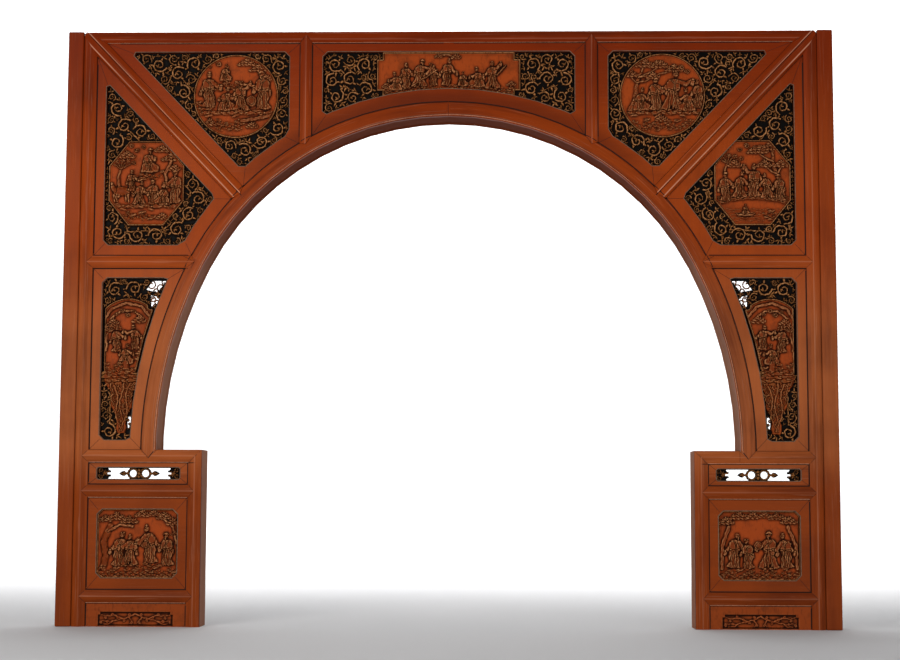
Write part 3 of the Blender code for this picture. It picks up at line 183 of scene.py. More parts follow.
def lacquerMaterial(name, run, tone=0.0, edged=True, streak=1.0, shine=1.0):
    look = lacquer
    material, shader, start, position = startMaterial(name, look)
    x, y, z = position.parts()
    if run == "arc":
        local = arcPosition(start, position)
    elif run == "slant":
        angle = math.radians(archway["jointDegrees"])
        away = x.size()
        local = start.joined(away * math.sin(angle) - z * math.cos(angle), y,
                             away * math.cos(angle) + z * math.sin(angle))
    elif run in ("level", "frame"):
        local = start.joined(z, y, x)
    else:
        local = position
    streaks = local.scaled((1.0, 1.0, 0.05)).noise(look["grain"], 5.0, 0.6)
    fine = local.scaled((1.0, 1.0, 0.03)).noise(look["grain"] * 6, 3.0, 0.6)
    clouds = position.noise(2.3, 4.0, 0.55)
    base = z.step(*look["upperFrom"]).mix(colourOf(look["top"]), colourOf(look["upper"]))
    base = z.step(*look["waistFrom"]).mix(base, colourOf(look["waist"]))
    base = z.step(*look["lowFrom"]).mix(base, colourOf(look["low"]))
    # streaks and clouds darken at random; tone darkens a whole material, which on the low rails is painted
    # shade; the right side is darkened as painted shade
    shade = streaks.step(0.60, 0.30) * (look["streak"] * streak) + clouds.step(0.46, 0.66) * 0.25 + tone
    shade = shade + x.step(*look["rightFrom"]) * look["rightShade"]
    base = shade.mix(base, colourOf(look["dark"]))
    base = (fine.step(0.56, 0.72) * (0.09 * streak)).mix(base, colourOf(look["pale"]))
    # painted shadow: the frame boards high up just outside the ring are darkened as if the ring shaded them
    if run in ("frame", "upright_frame"):
        away = arcPosition(start, position).parts()[0] - archway["ringWidth"]
        beside = away.step(*look["ringShadowFrom"]) * z.step(*look["ringShadowHeights"])
        base = (beside * look["ringShadow"]).mix(base, colourOf(look["dark"]))
    front = archway["frontY"]
    # painted sheen and shade: recessed faces such as the soffit turn dusty with a pale painted sheen low
    # down, and darker with painted shade high up
    back = y.step(archway["fieldY"] + 0.003, archway["fieldY"] + 0.012)
    dustAndPaintedLight = z.step(*look["dustAndPaintedLightFrom"]).mix(colourOf(look["dustAndPaintedLight"]), colourOf(look["shade"]))
    base = (back * (streaks * 0.6 + 0.5)).mix(base, dustAndPaintedLight)
    if edged:
        # painted highlight: a pale line along the frontmost crest of each moulding
        arrisHighlight = y.step(front + 0.0007, front + 0.0002) * streaks.step(0.30, 0.60)
        base = (arrisHighlight * (look["arrisHighlight"] * shine)).mix(base, colourOf(look["pale"]))
        # painted shade: the narrow faces where a moulding steps down to the field are darkened to the groove
        # colour
        edge = y.step(front + 0.0088, front + 0.0094) * y.step(front + 0.0134, front + 0.0129)
        base = (edge * 0.85).mix(base, colourOf(look["groove"]))
    rough = streaks * 0.20 + clouds * 0.16 + fine * 0.10 + back * 0.45 + (look["roughness"] - 0.22)
    finishMaterial(shader, start, base, rough, streaks * 0.5 + fine * 0.5, 0.0006)
    return material


carvedLook = {
    "black": "040302", "gold": "845022", "shade": "42220E", "ground": "9A4014", "figure": "78320F",
    # the deep colour darkens hollows with grime and painted shade
    "deep": "0E0402", "wearAndHighlight": "D89C68", "roughness": 0.5, "gloss": 0.06}


def carvedMaterial(name, ground=carvedLook["ground"], figure=carvedLook["figure"], pallor=1.0):
    look = carvedLook
    material, shader, start, position = startMaterial(name, look)
    level, hollow = start.named("level"), start.named("hollow")
    wearAndHighlight, zone = start.named("wearAndHighlight"), start.named("zone")
    grain = position.scaled((1.0, 1.0, 0.3)).noise(140.0, 4.0, 0.6)
    clouds = position.noise(17.0, 4.0, 0.6)
    strand = level.step(0.10, 0.62).mix(colourOf(look["black"]), colourOf(look["gold"]))
    strand = (clouds.step(0.44, 0.62) * 0.55 * level).mix(strand, colourOf(look["shade"]))
    carved = level.step(0.40, 0.60).mix(colourOf(ground), colourOf(figure))
    carved = (clouds.step(0.48, 0.66) * 0.35).mix(carved, colourOf(look["shade"]))
    base = zone.mix(strand, carved)
    # crests turn pale, partly wear and partly a painted highlight
    paleWearAndHighlight = wearAndHighlight * (grain.step(0.34, 0.58) * 0.46 + 0.12) * pallor
    base = paleWearAndHighlight.mix(base, colourOf(look["wearAndHighlight"]))
    # hollows turn dark, partly grime and partly painted shade
    base = hollow.mix(base, colourOf(look["deep"]))
    base = (grain.step(0.48, 0.30) * 0.3).mix(base, colourOf(look["deep"]))
    rough = grain * 0.25 + hollow * 0.3 + (look["roughness"] - 0.12)
    finishMaterial(shader, start, base, rough, grain, 0.0005)
    return material


def plainMaterial(name, text, roughness, spread=0.25, scale=90.0):
    material, shader, start, position = startMaterial(name, {"gloss": 0.2})
    speck = position.noise(scale, 4.0, 0.6)
    colour = colourOf(text)
    darker = tuple(c * (1 - spread * 1.6) for c in colour[:3]) + (1.0,)
    base = speck.step(0.35, 0.65).mix(darker, colour)
    finishMaterial(shader, start, base, speck * 0.2 + (roughness - 0.1), speck, 0.0005)
    return material


# Plane geometry

def outlineLoops(node, y):
    # the closed outlines of a CAD node's flat face at a depth, as arrays of x and z
    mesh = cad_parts[node].data
    spots = [tuple(round(c, 5) for c in v.co) for v in mesh.vertices]
    edges = set()
    for polygon in mesh.polygons:
        corners = [spots[i] for i in polygon.vertices]
        if all(abs(c[1] - y) < 0.0001 for c in corners):
            edges |= set(zip(corners, corners[1:] + corners[:1]))
    onward = {one: two for one, two in edges if (two, one) not in edges}
    loops = []
    while onward:
        start = min(onward)
        loop = [start]
        while loop[-1] in onward:
            loop.append(onward.pop(loop[-1]))
            if loop[-1] == start:
                break
        loops.append(np.array([(c[0], c[2]) for c in loop[:-1]]))
    return sorted(loops, key=lambda loop: -np.prod(np.ptp(loop, axis=0)))


def insideDistance(x, z, outline):
    # how far inside an outline each point is, below 0 outside it
    least = np.full(x.shape, 1e9)
    odd = np.zeros(x.shape, bool)
    for (x1, z1), (x2, z2) in zip(outline, np.roll(outline, -1, axis=0)):
        runX, runZ = x2 - x1, z2 - z1
        share = ((x - x1) * runX + (z - z1) * runZ) / max(runX * runX + runZ * runZ, 1e-12)
        share = np.clip(share, 0, 1)
        least = np.minimum(least, np.hypot(x - x1 - runX * share, z - z1 - runZ * share))
        if z1 != z2:
            crosses = ((z1 <= z) != (z2 <= z)) & (x < x1 + (z - z1) * runX / runZ)
            odd ^= crosses
    return np.where(odd, least, -least)


def blurred(grid, cells):
    for axis in (0, 1):
        total = grid.copy()
        for shift in range(1, cells + 1):
            padded = np.pad(grid, [(shift, shift) if a == axis else (0, 0) for a in (0, 1)], "edge")
            ahead = padded[2 * shift:] if axis == 0 else padded[:, 2 * shift:]
            behind = padded[:-2 * shift] if axis == 0 else padded[:, :-2 * shift]
            total += ahead + behind
        grid = total / (2 * cells + 1)
    return grid


# Relief: a grid of heights over a carved board, on which forms are put one over the other

reliefs = {
    "pitch": 0.00187, "lap": 0.008, "lattice": 0.006, "strandRise": 0.0115, "groundRise": 0.006,
    "figureRise": 0.0125, "groove": 0.007, "grooveReach": 0.0030, "sway": 0.0009,
    # how far below the lean surface round it a spot counts as a hollow, darkened with grime and painted
    # shade, and how far above it as a crest, paled with wear and a painted highlight
    "near": 2, "far": 5, "nearHollow": 0.0018, "farHollow": 0.0032, "nearWearAndHighlight": 0.0014,
    "farWearAndHighlight": 0.0050, "darkest": 0.95}


class Relief:
    def __init__(self, node, frontY=archway["plateY"], edgeY=archway["plateY"]):
        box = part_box(node)
        self.node = node
        self.frontY, self.edgeY = frontY, edgeY
        self.backY = box[1].y
        self.loops = outlineLoops(node, self.backY)
        pitch = reliefs["pitch"]
        xs = np.arange(box[0].x - pitch, box[1].x + pitch * 1.5, pitch)
        zs = np.arange(box[0].z - pitch, box[1].z + pitch * 1.5, pitch)
        self.x, self.z = np.meshgrid(xs, zs)
        self.low, self.high = self.loops[0].min(0), self.loops[0].max(0)
        self.solid = insideDistance(self.x, self.z, self.loops[0])
        self.window = self.solid - reliefs["lap"]
        for hole in self.loops[1:]:
            away = -insideDistance(self.x, self.z, hole)
            self.solid = np.minimum(self.solid, away)
            self.window = np.minimum(self.window, away)
        self.height = np.zeros(self.x.shape)
        self.zone = np.zeros(self.x.shape)
        self.base = 0.0
        # a carver's unsteady edge: forms are measured from slightly shifted places
        sway, x, z = reliefs["sway"], self.x, self.z
        self.cutX = x + sway * (np.sin(z * 210 + x * 90) + 0.7 * np.sin(x * 330 - z * 260 + 1.3))
        self.cutZ = z + sway * (np.sin(x * 190 - z * 80 + 0.6) + 0.7 * np.sin(z * 300 + x * 340 + 2.1))

    def cut(self, left, right, low, high):
        margin = reliefs["grooveReach"] * 2
        xs, zs = self.x[0], self.z[:, 0]
        return (slice(*np.searchsorted(zs, (low - margin, high + margin))),
                slice(*np.searchsorted(xs, (left - margin, right + margin))))

    def put(self, cut, inside, height, groove):
        # cut a groove just outside the form, then raise the form over what is there
        block = self.height[cut]
        near = np.clip(1 + inside / reliefs["grooveReach"], 0, 1) * (inside <= 0)
        floor = np.minimum(block, self.base)
        block -= near * groove * np.minimum(reliefs["groove"], block - floor)
        raised = np.where(inside > 0, self.base + height, 0.0)
        np.maximum(block, raised, out=block)

    def stroke(self, points, widths, rise, power=2.0, vein=0.0, groove=1.0):
        # a strand along a line of points with a width at each
        points = np.asarray(points, float)
        widths = np.broadcast_to(np.asarray(widths, float), len(points)) / 2
        reach = widths.max()
        low, high = points.min(0) - reach, points.max(0) + reach
        cut = self.cut(low[0], high[0], low[1], high[1])
        x, z = self.cutX[cut], self.cutZ[cut]
        if not x.size:
            return
        best = np.full(x.shape, -1e9)
        tall = np.zeros(x.shape)
        for (p, q, a, b) in zip(points, points[1:], widths, widths[1:]):
            run = q - p
            share = np.clip(((x - p[0]) * run[0] + (z - p[1]) * run[1]) / max(run @ run, 1e-12), 0, 1)
            away = np.hypot(x - p[0] - run[0] * share, z - p[1] - run[1] * share)
            half = a + (b - a) * share
            inside = half - away
            across = np.clip(away / np.maximum(half, 1e-6), 0, 1)
            shape = np.maximum(1 - across ** power, 0) ** 0.5
            if vein:
                shape = shape * (1 - vein * np.clip(1 - across * 2.6, 0, 1))
            shape = shape * np.clip(0.45 + half / reach * 0.55, 0, 1)
            better = inside > best
            best = np.where(better, inside, best)
            tall = np.where(inside > 0, np.maximum(tall, shape), tall)
        self.put(cut, best, rise * tall, groove)

    def dome(self, x, z, wide, high, rise, turn=0.0, power=2.0, groove=1.0):
        reach = max(wide, high)
        cut = self.cut(x - reach, x + reach, z - reach, z + reach)
        overX, overZ = self.cutX[cut] - x, self.cutZ[cut] - z
        c, s = math.cos(turn), math.sin(turn)
        along = (overX * c + overZ * s) / wide
        across = (overZ * c - overX * s) / high
        away = np.hypot(along, across)
        height = rise * np.maximum(1 - away ** power, 0) ** 0.5
        self.put(cut, (1 - away) * min(wide, high), height, groove)

    def slab(self, points, rise, rounding, folds=None, groove=1.0):
        # a flat form with rounded edges and optional folds, given as (fan x, fan z, count, depth)
        points = np.asarray(points, float)
        low, high = points.min(0), points.max(0)
        cut = self.cut(low[0], high[0], low[1], high[1])
        x, z = self.cutX[cut], self.cutZ[cut]
        inside = insideDistance(x, z, points)
        ease = np.clip(inside / rounding, 0, 1)
        height = rise * (0.35 + 0.65 * np.sqrt(np.maximum(1 - (1 - ease) ** 2, 0)))
        if folds:
            fanX, fanZ, count, depth = folds
            turn = np.arctan2(x - fanX, fanZ - z)
            height = height - depth * (0.5 + 0.5 * np.sin(turn * count)) * ease
        self.put(cut, inside, height, groove)


scrolls = {
    "largest": 0.034, "least": 0.0054, "margin": 0.0004, "stem": 0.160, "turns": 1.35,
    "leaves": 6, "leafLength": 0.86, "leafWidth": 0.25, "filler": 0.0125}


def leaf(relief, x, z, angle, length, width, rise, bend=0.5):
    # a pointed leaf that starts at a point and bends toward its tip
    steps = np.linspace(0, 1, 7)
    turns = angle + steps * bend
    run = length / 6
    points = [(x, z)]
    for turn in turns[1:]:
        points.append((points[-1][0] + run * math.cos(turn), points[-1][1] + run * math.sin(turn)))
    widths = width * np.sin(np.pi * (0.16 + 0.82 * steps)) ** 0.8
    relief.stroke(points, widths, rise, 2.0, 0.3, 0.6)


def curl(relief, x, z, radius, entry, hand, rise):
    # a stem that runs in along its circle and winds to a bud, with long leaves swept along it
    look = scrolls

    def spot(step):
        turn = entry + hand * step * look["turns"] * 2 * math.pi
        reach = radius * (0.93 - 0.70 * step ** 0.80)
        return x + reach * math.cos(turn), z + reach * math.sin(turn), turn

    steps = np.linspace(0, 1, 28)
    points = [spot(s)[:2] for s in steps]
    stem = max(radius * look["stem"], 0.0040)
    for index in range(look["leaves"]):
        step = 0.06 + index * 0.115
        a, b, turn = spot(step)
        inward = index % 2
        swept = turn + hand * (2.05 if inward else 1.02)
        length = radius * look["leafLength"] * (0.62 if inward else 1.0) * (1 - step * 0.7)
        leaf(relief, a, b, swept, length, radius * look["leafWidth"], rise * 0.80, -hand * 0.9)
    relief.stroke(points, stem * (1.15 - 0.45 * steps), rise, 2.4, 0.22)
    a, b, turn = spot(1.0)
    relief.dome(a, b, radius * 0.17, radius * 0.14, rise * 1.05, turn)
    for swing in (-0.7, 0.9):
        leaf(relief, a, b, turn + math.pi / 2 * hand + swing, radius * 0.36, radius * 0.15, rise * 0.8,
             hand * 0.6)


def packCurls(free, x, z, largest, least):
    # the widest circle that still fits, again and again
    circles = []
    free = free.copy()
    while True:
        spot = np.unravel_index(np.argmax(free), free.shape)
        radius = min(free[spot], largest)
        if radius < least:
            return circles
        circles.append((x[spot], z[spot], radius))
        free = np.minimum(free, np.hypot(x - x[spot], z - z[spot]) - radius)


def scrollwork(relief, keepOff):
    # fill the window outside a medallion with joined curls, and its corners with leaves
    lattice = reliefs["lattice"]
    low, high = relief.low, relief.high
    xs = np.arange(math.ceil(low[0] / lattice), math.floor(high[0] / lattice) + 1) * lattice
    zs = np.arange(math.ceil(low[1] / lattice), math.floor(high[1] / lattice) + 1) * lattice
    x, z = np.meshgrid(xs, zs)
    free = insideDistance(x, z, relief.loops[0]) - reliefs["lap"] - scrolls["margin"]
    for hole in relief.loops[1:]:
        free = np.minimum(free, -insideDistance(x, z, hole) - scrolls["margin"])
    free = np.minimum(free, keepOff(x, z) - scrolls["margin"])
    circles = packCurls(free, x, z, scrolls["largest"], scrolls["least"])
    hands = []
    for index, (cx, cz, radius) in enumerate(circles):
        earlier = [(math.dist((cx, cz), c[:2]) - c[2], i) for i, c in enumerate(circles[:index])]
        gap, near = min(earlier, default=(0.0, None))
        hand = -hands[near] if near is not None else 1
        hands.append(hand)
        if near is None:
            entry = 0.8
        else:
            entry = math.atan2(circles[near][1] - cz, circles[near][0] - cx)
        if radius < scrolls["filler"]:
            for swing, reach in ((-0.85, 1.6), (0.0, 2.1), (0.85, 1.6)):
                leaf(relief, cx + radius * math.cos(entry), cz + radius * math.sin(entry),
                     entry + math.pi + swing, radius * reach, radius * 0.56,
                     reliefs["strandRise"] * 0.8, swing)
            continue
        if near is not None and gap > radius * 1.1:
            ax, az = cx + radius * 0.9 * math.cos(entry), cz + radius * 0.9 * math.sin(entry)
            reach = gap - radius * 0.9
            bx, bz = ax + reach * math.cos(entry), az + reach * math.sin(entry)
            relief.stroke([(ax, az), (bx, bz)], [0.006, 0.005], reliefs["strandRise"] * 0.9)
        curl(relief, cx, cz, radius, entry, hand, reliefs["strandRise"])
    relief.height *= relief.window > 0


# Motifs of the scenes

trunks = {"pine": 0.10, "broad": 0.08}  # thickness in shares of the tree's height
# hands of the robed figures, near and far, in shares of their height
poses = {
    "fold": ((0.22, 0.56), (-0.18, 0.48)), "out": ((0.34, 0.62), (-0.24, 0.46)),
    "carry": ((0.36, 0.52), (-0.27, 0.48)), "up": ((0.34, 0.98), (-0.32, 0.52)),
    "point": ((0.46, 0.78), (-0.28, 0.56))}
leans = {"fold": 0.02, "out": -0.05, "carry": 0.10, "up": -0.06, "point": 0.08}

# What is carved on each medallion: a motif, its place across and up from the middle in half
# widths, and the motif's own values. Across is as seen from the front.
scenes = {
    "roundel_left": (
        ("cloud", -0.42, 0.74, 0.20, 3), ("rocks", -0.60, 0.14, 0.04, 0.42, 0.6),
        ("line", 0.0, 0.0, ((0.0, 0.34), (0.22, 0.28), (0.46, 0.24)), 0.06),
        ("person", -0.26, 0.38, 0.42, 1, "bun", "sit", "fold"),
        ("line", 0.0, 0.0, ((0.18, 0.84), (0.48, 0.72), (0.72, 0.46)), 0.05),
        ("foliage", 0.26, 0.76, 0.22), ("foliage", 0.54, 0.62, 0.22), ("foliage", 0.72, 0.40, 0.14),
        ("rocks", -0.93, -0.42, -0.58, -0.12, 1.2),
        ("person", -0.62, -0.26, 0.84, 1, "bun", "stand", "out"),
        ("person", -0.24, -0.34, 0.62, 1, "cap", "sit", "carry"),
        ("person", 0.14, -0.36, 0.72, 1, "twin", "stride", "up"), ("drum", 0.37, -0.12, 0.13),
        ("person", 0.64, -0.32, 0.92, -1, "hat", "stand", "fold"),
        ("ledge", -0.95, -0.40, 0.95, 0.09), ("foliage", -0.60, -0.68, 0.18),
        ("rocks", -0.40, -0.82, 0.12, -0.50, 1.7), ("foliage", 0.40, -0.74, 0.14),
        ("line", 0.0, 0.0, ((0.14, -0.60), (0.48, -0.54), (0.86, -0.46)), 0.08)),
    "roundel_right": (
        ("pine", -0.76, -0.36, 1.06, 0.30, ((0.0, 1.0, 0.26), (0.36, 0.98, 0.24), (-0.22, 0.78, 0.18),
                                          (0.72, 0.90, 0.20), (0.30, 0.74, 0.14))),
        ("cloud", 0.52, 0.62, 0.22, 4), ("person", -0.52, -0.36, 0.60, 1, "bun", "sit", "carry"),
        ("person", -0.14, -0.36, 0.78, 1, "cap", "stand", "out"),
        ("person", 0.24, -0.36, 0.94, 1, "bun", "stride", "point"),
        ("person", 0.60, -0.38, 0.60, -1, "twin", "sit", "carry"),
        ("person", 0.84, -0.30, 0.66, -1, "bun", "stand", "fold"),
        ("ledge", -0.95, -0.42, 0.95, 0.08), ("rocks", -0.74, -0.84, -0.05, -0.52, 4.2),
        ("rocks", 0.08, -0.82, 0.72, -0.52, 2.2), ("foliage", -0.02, -0.60, 0.14)),
    "octagon_left": (
        ("cloud", -0.34, 0.94, 0.24, 4), ("tree", -0.74, -0.36, 0.98, 0.08, 0.30),
        ("foliage", -0.52, 0.70, 0.22), ("horse", -0.66, -0.50, 0.46, -1),
        ("person", -0.38, -0.22, 0.56, 1, "cap", "stand", "out"),
        ("line", 0.0, 0.0, ((-0.22, 0.06), (0.0, 0.12)), 0.035),
        ("rocks", -0.24, 0.12, 0.40, 0.32, 2.2), ("person", 0.06, 0.30, 0.70, 1, "hat", "sit", "fold"),
        ("foliage", 0.40, 0.86, 0.20), ("foliage", 0.66, 0.62, 0.26), ("foliage", 0.74, 0.36, 0.16),
        ("line", 0.0, 0.0, ((0.66, 0.60), (0.50, 0.26), (0.56, -0.10)), 0.07),
        ("person", -0.18, -0.58, 0.62, 1, "bun", "stride", "carry"),
        ("person", 0.17, -0.58, 0.66, -1, "cap", "stand", "out"),
        ("person", 0.46, -0.58, 0.62, -1, "bun", "sit", "fold"),
        ("person", 0.76, -0.54, 0.88, -1, "hat", "stand", "out"),
        ("ledge", -0.97, -0.62, 0.97, 0.10), ("rocks", -0.84, -1.00, -0.30, -0.72, 0.3),
        ("rocks", -0.14, -0.98, 0.16, -0.74, 2.0), ("foliage", 0.44, -0.94, 0.16)),
    "octagon_right": (
        ("cloud", -0.06, 0.92, 0.26, 4),
        ("pine", 0.78, -0.42, 1.30, -0.20, ((0.0, 1.0, 0.26), (-0.30, 0.94, 0.22), (0.12, 0.66, 0.16),
                                          (-0.22, 0.66, 0.16))),
        ("tree", -0.72, -0.10, 0.82, 0.12, 0.32), ("foliage", -0.46, 0.44, 0.18),
        ("terrace", -0.97, -0.56, 0.97, 0.09, 0.16, 12, 0.16),
        ("person", -0.70, -0.50, 0.76, 1, "cap", "stand", "out"),
        ("person", -0.34, -0.40, 0.68, 1, "twin", "stride", "carry"),
        ("person", 0.02, -0.38, 0.86, -1, "bun", "stand", "up"),
        ("person", 0.38, -0.42, 0.66, -1, "bun", "stride", "carry"),
        ("person", 0.70, -0.50, 0.72, -1, "hat", "stand", "fold"),
        ("water", -0.70, -1.04, 0.70, -0.68, 5), ("boat", -0.20, -0.86, 0.27),
        ("person", -0.20, -0.84, 0.28, 1, "hat", "sit", "fold"), ("rocks", 0.34, -1.0, 0.76, -0.70, 5.0)),
    "narrow": (
        ("line", 0.0, 0.0, ((-0.86, 0.80), (-0.50, 1.22), (0.10, 1.34), (0.66, 1.10), (0.90, 0.70)), 0.10),
        ("line", 0.0, 0.0, ((-0.60, 0.74), (-0.20, 1.04), (0.30, 1.02), (0.66, 0.74)), 0.07),
        ("cloud", 0.10, 0.96, 0.34, 4), ("foliage", -0.44, 0.62, 0.26), ("foliage", 0.56, 0.54, 0.22),
        ("tree", 0.84, -0.50, 0.96, -0.16, 0.34),
        ("person", 0.40, -0.56, 1.00, -1, "bun", "stand", "out"),
        ("person", -0.30, -0.46, 0.94, 1, "cap", "stand", "point"),
        ("person", 0.08, -1.02, 0.86, -1, "twin", "sit", "carry"),
        ("foliage", -0.62, -0.62, 0.26), ("foliage", -0.58, -0.84, 0.24),
        ("rocks", 0.20, -1.36, 0.92, -0.92, 1.1), ("rocks", -0.84, -1.36, -0.16, -1.02, 3.0),
        ("line", 0.0, 0.0, ((0.06, -0.98), (0.02, -1.40)), 0.22)),
    "figure_left": (
        ("line", 0.0, 0.0, ((-0.84, -0.60), (-0.78, -0.30), (-0.84, 0.05), (-0.68, 0.42)), 0.15),
        ("line", 0.0, 0.0, ((-0.72, 0.30), (-0.44, 0.46), (-0.12, 0.42)), 0.06),
        ("foliage", -0.80, 0.56, 0.18), ("foliage", -0.52, 0.60, 0.24), ("foliage", -0.20, 0.52, 0.22),
        ("foliage", 0.12, 0.68, 0.20), ("foliage", 0.40, 0.70, 0.14),
        ("line", 0.0, 0.0, ((0.97, 0.0), (0.88, 0.40), (0.64, 0.60)), 0.05),
        ("foliage", 0.66, 0.62, 0.20), ("foliage", 0.88, 0.48, 0.16), ("foliage", 0.92, 0.22, 0.09),
        ("rocks", -0.98, -0.83, 0.98, -0.54, 0.9), ("rocks", 0.08, -0.62, 0.52, -0.42, 2.0),
        ("person", -0.46, -0.56, 0.84, 1, "twin", "stand", "carry"),
        ("person", -0.20, -0.54, 0.76, -1, "bun", "stride", "out"), ("drum", 0.02, 0.06, 0.08),
        ("person", 0.32, -0.48, 0.92, -1, "bun", "stand", "carry"), ("drum", 0.20, -0.02, 0.10),
        ("person", 0.74, -0.54, 0.80, -1, "hat", "stand", "fold")),
    "figure_right": (
        ("line", 0.0, 0.0, ((-0.92, -0.56), (-0.90, 0.0), (-0.74, 0.44)), 0.09),
        ("foliage", -0.80, 0.54, 0.20), ("foliage", -0.48, 0.66, 0.24), ("foliage", -0.14, 0.68, 0.16),
        ("line", 0.0, 0.0, ((0.92, -0.56), (0.90, 0.0), (0.70, 0.46)), 0.08),
        ("foliage", 0.74, 0.56, 0.20), ("foliage", 0.44, 0.66, 0.22), ("foliage", 0.14, 0.70, 0.14),
        ("rocks", -0.98, -0.83, 0.98, -0.52, 3.4),
        ("person", -0.62, -0.54, 0.86, 1, "beard", "stand", "carry"),
        ("person", -0.28, -0.56, 0.72, -1, "twin", "stand", "fold"),
        ("person", 0.22, -0.56, 0.90, -1, "hat", "stride", "out"), ("drum", -0.02, 0.0, 0.10),
        ("person", 0.66, -0.54, 0.84, -1, "bun", "stand", "carry"))}

# figures of the centre panel: across and height in metres, facing, hair, pose and arms
centreFigures = (
    (-0.212, 0.082, -1, "cap", "sit", "carry"), (-0.170, 0.104, 1, "bun", "stand", "out"),
    (-0.118, 0.112, 1, "hat", "stride", "point"), (-0.062, 0.094, -1, "twin", "stand", "carry"),
    (-0.008, 0.110, 1, "bun", "stand", "carry"), (0.056, 0.066, 1, "twin", "sit", "fold"),
    (0.122, 0.090, -1, "cap", "sit", "carry"), (0.180, 0.112, 1, "bun", "stride", "up"))


def head(relief, x, z, size, facing, hair):
    # hair, face, nose and eyes, then what is worn on the hair; size is half the head's height
    rise = reliefs["figureRise"]
    relief.dome(x - facing * size * 0.12, z + size * 0.18, size * 0.62, size * 0.66, rise * 0.98)
    relief.dome(x, z, size * 0.52, size * 0.62, rise * 1.10, groove=0.4)
    relief.dome(x + facing * size * 0.36, z - size * 0.06, size * 0.13, size * 0.20, rise * 1.2, groove=0)
    for side in (-0.02, 0.52):
        relief.dome(x + facing * size * side, z + size * 0.10, size * 0.12, size * 0.06, rise * 1.02)
    if hair == "bun":
        relief.dome(x - facing * size * 0.10, z + size * 0.92, size * 0.36, size * 0.32, rise)
    elif hair == "twin":
        for side in (-0.45, 0.40):
            relief.dome(x + side * size, z + size * 0.78, size * 0.27, size * 0.27, rise)
    elif hair == "hat":
        relief.slab([(x - size * 1.05, z + size * 0.42), (x + size * 1.05, z + size * 0.42),
                     (x + size * 0.25, z + size * 1.10), (x - size * 0.25, z + size * 1.10)],
                    rise * 1.05, size * 0.3)
    elif hair == "cap":
        relief.slab([(x - size * 0.62, z + size * 0.35), (x + size * 0.62, z + size * 0.35),
                     (x + size * 0.45, z + size * 1.05), (x - size * 0.55, z + size * 1.15)],
                    rise * 1.05, size * 0.3)
    if hair == "beard" or hair == "hat":
        leaf(relief, x + facing * size * 0.18, z - size * 0.42, -math.pi / 2, size * 0.9, size * 0.42,
             rise * 1.1)


def sleeve(relief, shoulder, hand, wide, drop, rise):
    # an arm in a wide sleeve that hangs from the wrist
    shoulder, hand = np.array(shoulder), np.array(hand)
    elbow = shoulder * 0.45 + hand * 0.55 - (0, drop * 0.55)
    relief.stroke([shoulder, elbow, hand], [wide * 0.9, wide, wide * 0.62], rise * 1.04, 2.0, 0.0)
    if drop > 0:
        relief.slab([hand + (wide * 0.30, wide * 0.2), hand - (wide * 0.30, -wide * 0.2),
                     hand - (wide * 0.55, drop * 0.75), hand - (0, drop), hand + (wide * 0.35, -drop * 0.7)],
                    rise, wide * 0.3, (hand[0], hand[1] + wide * 2, 26, rise * 0.14), 0.7)
    relief.dome(hand[0], hand[1], wide * 0.30, wide * 0.26, rise * 1.1)


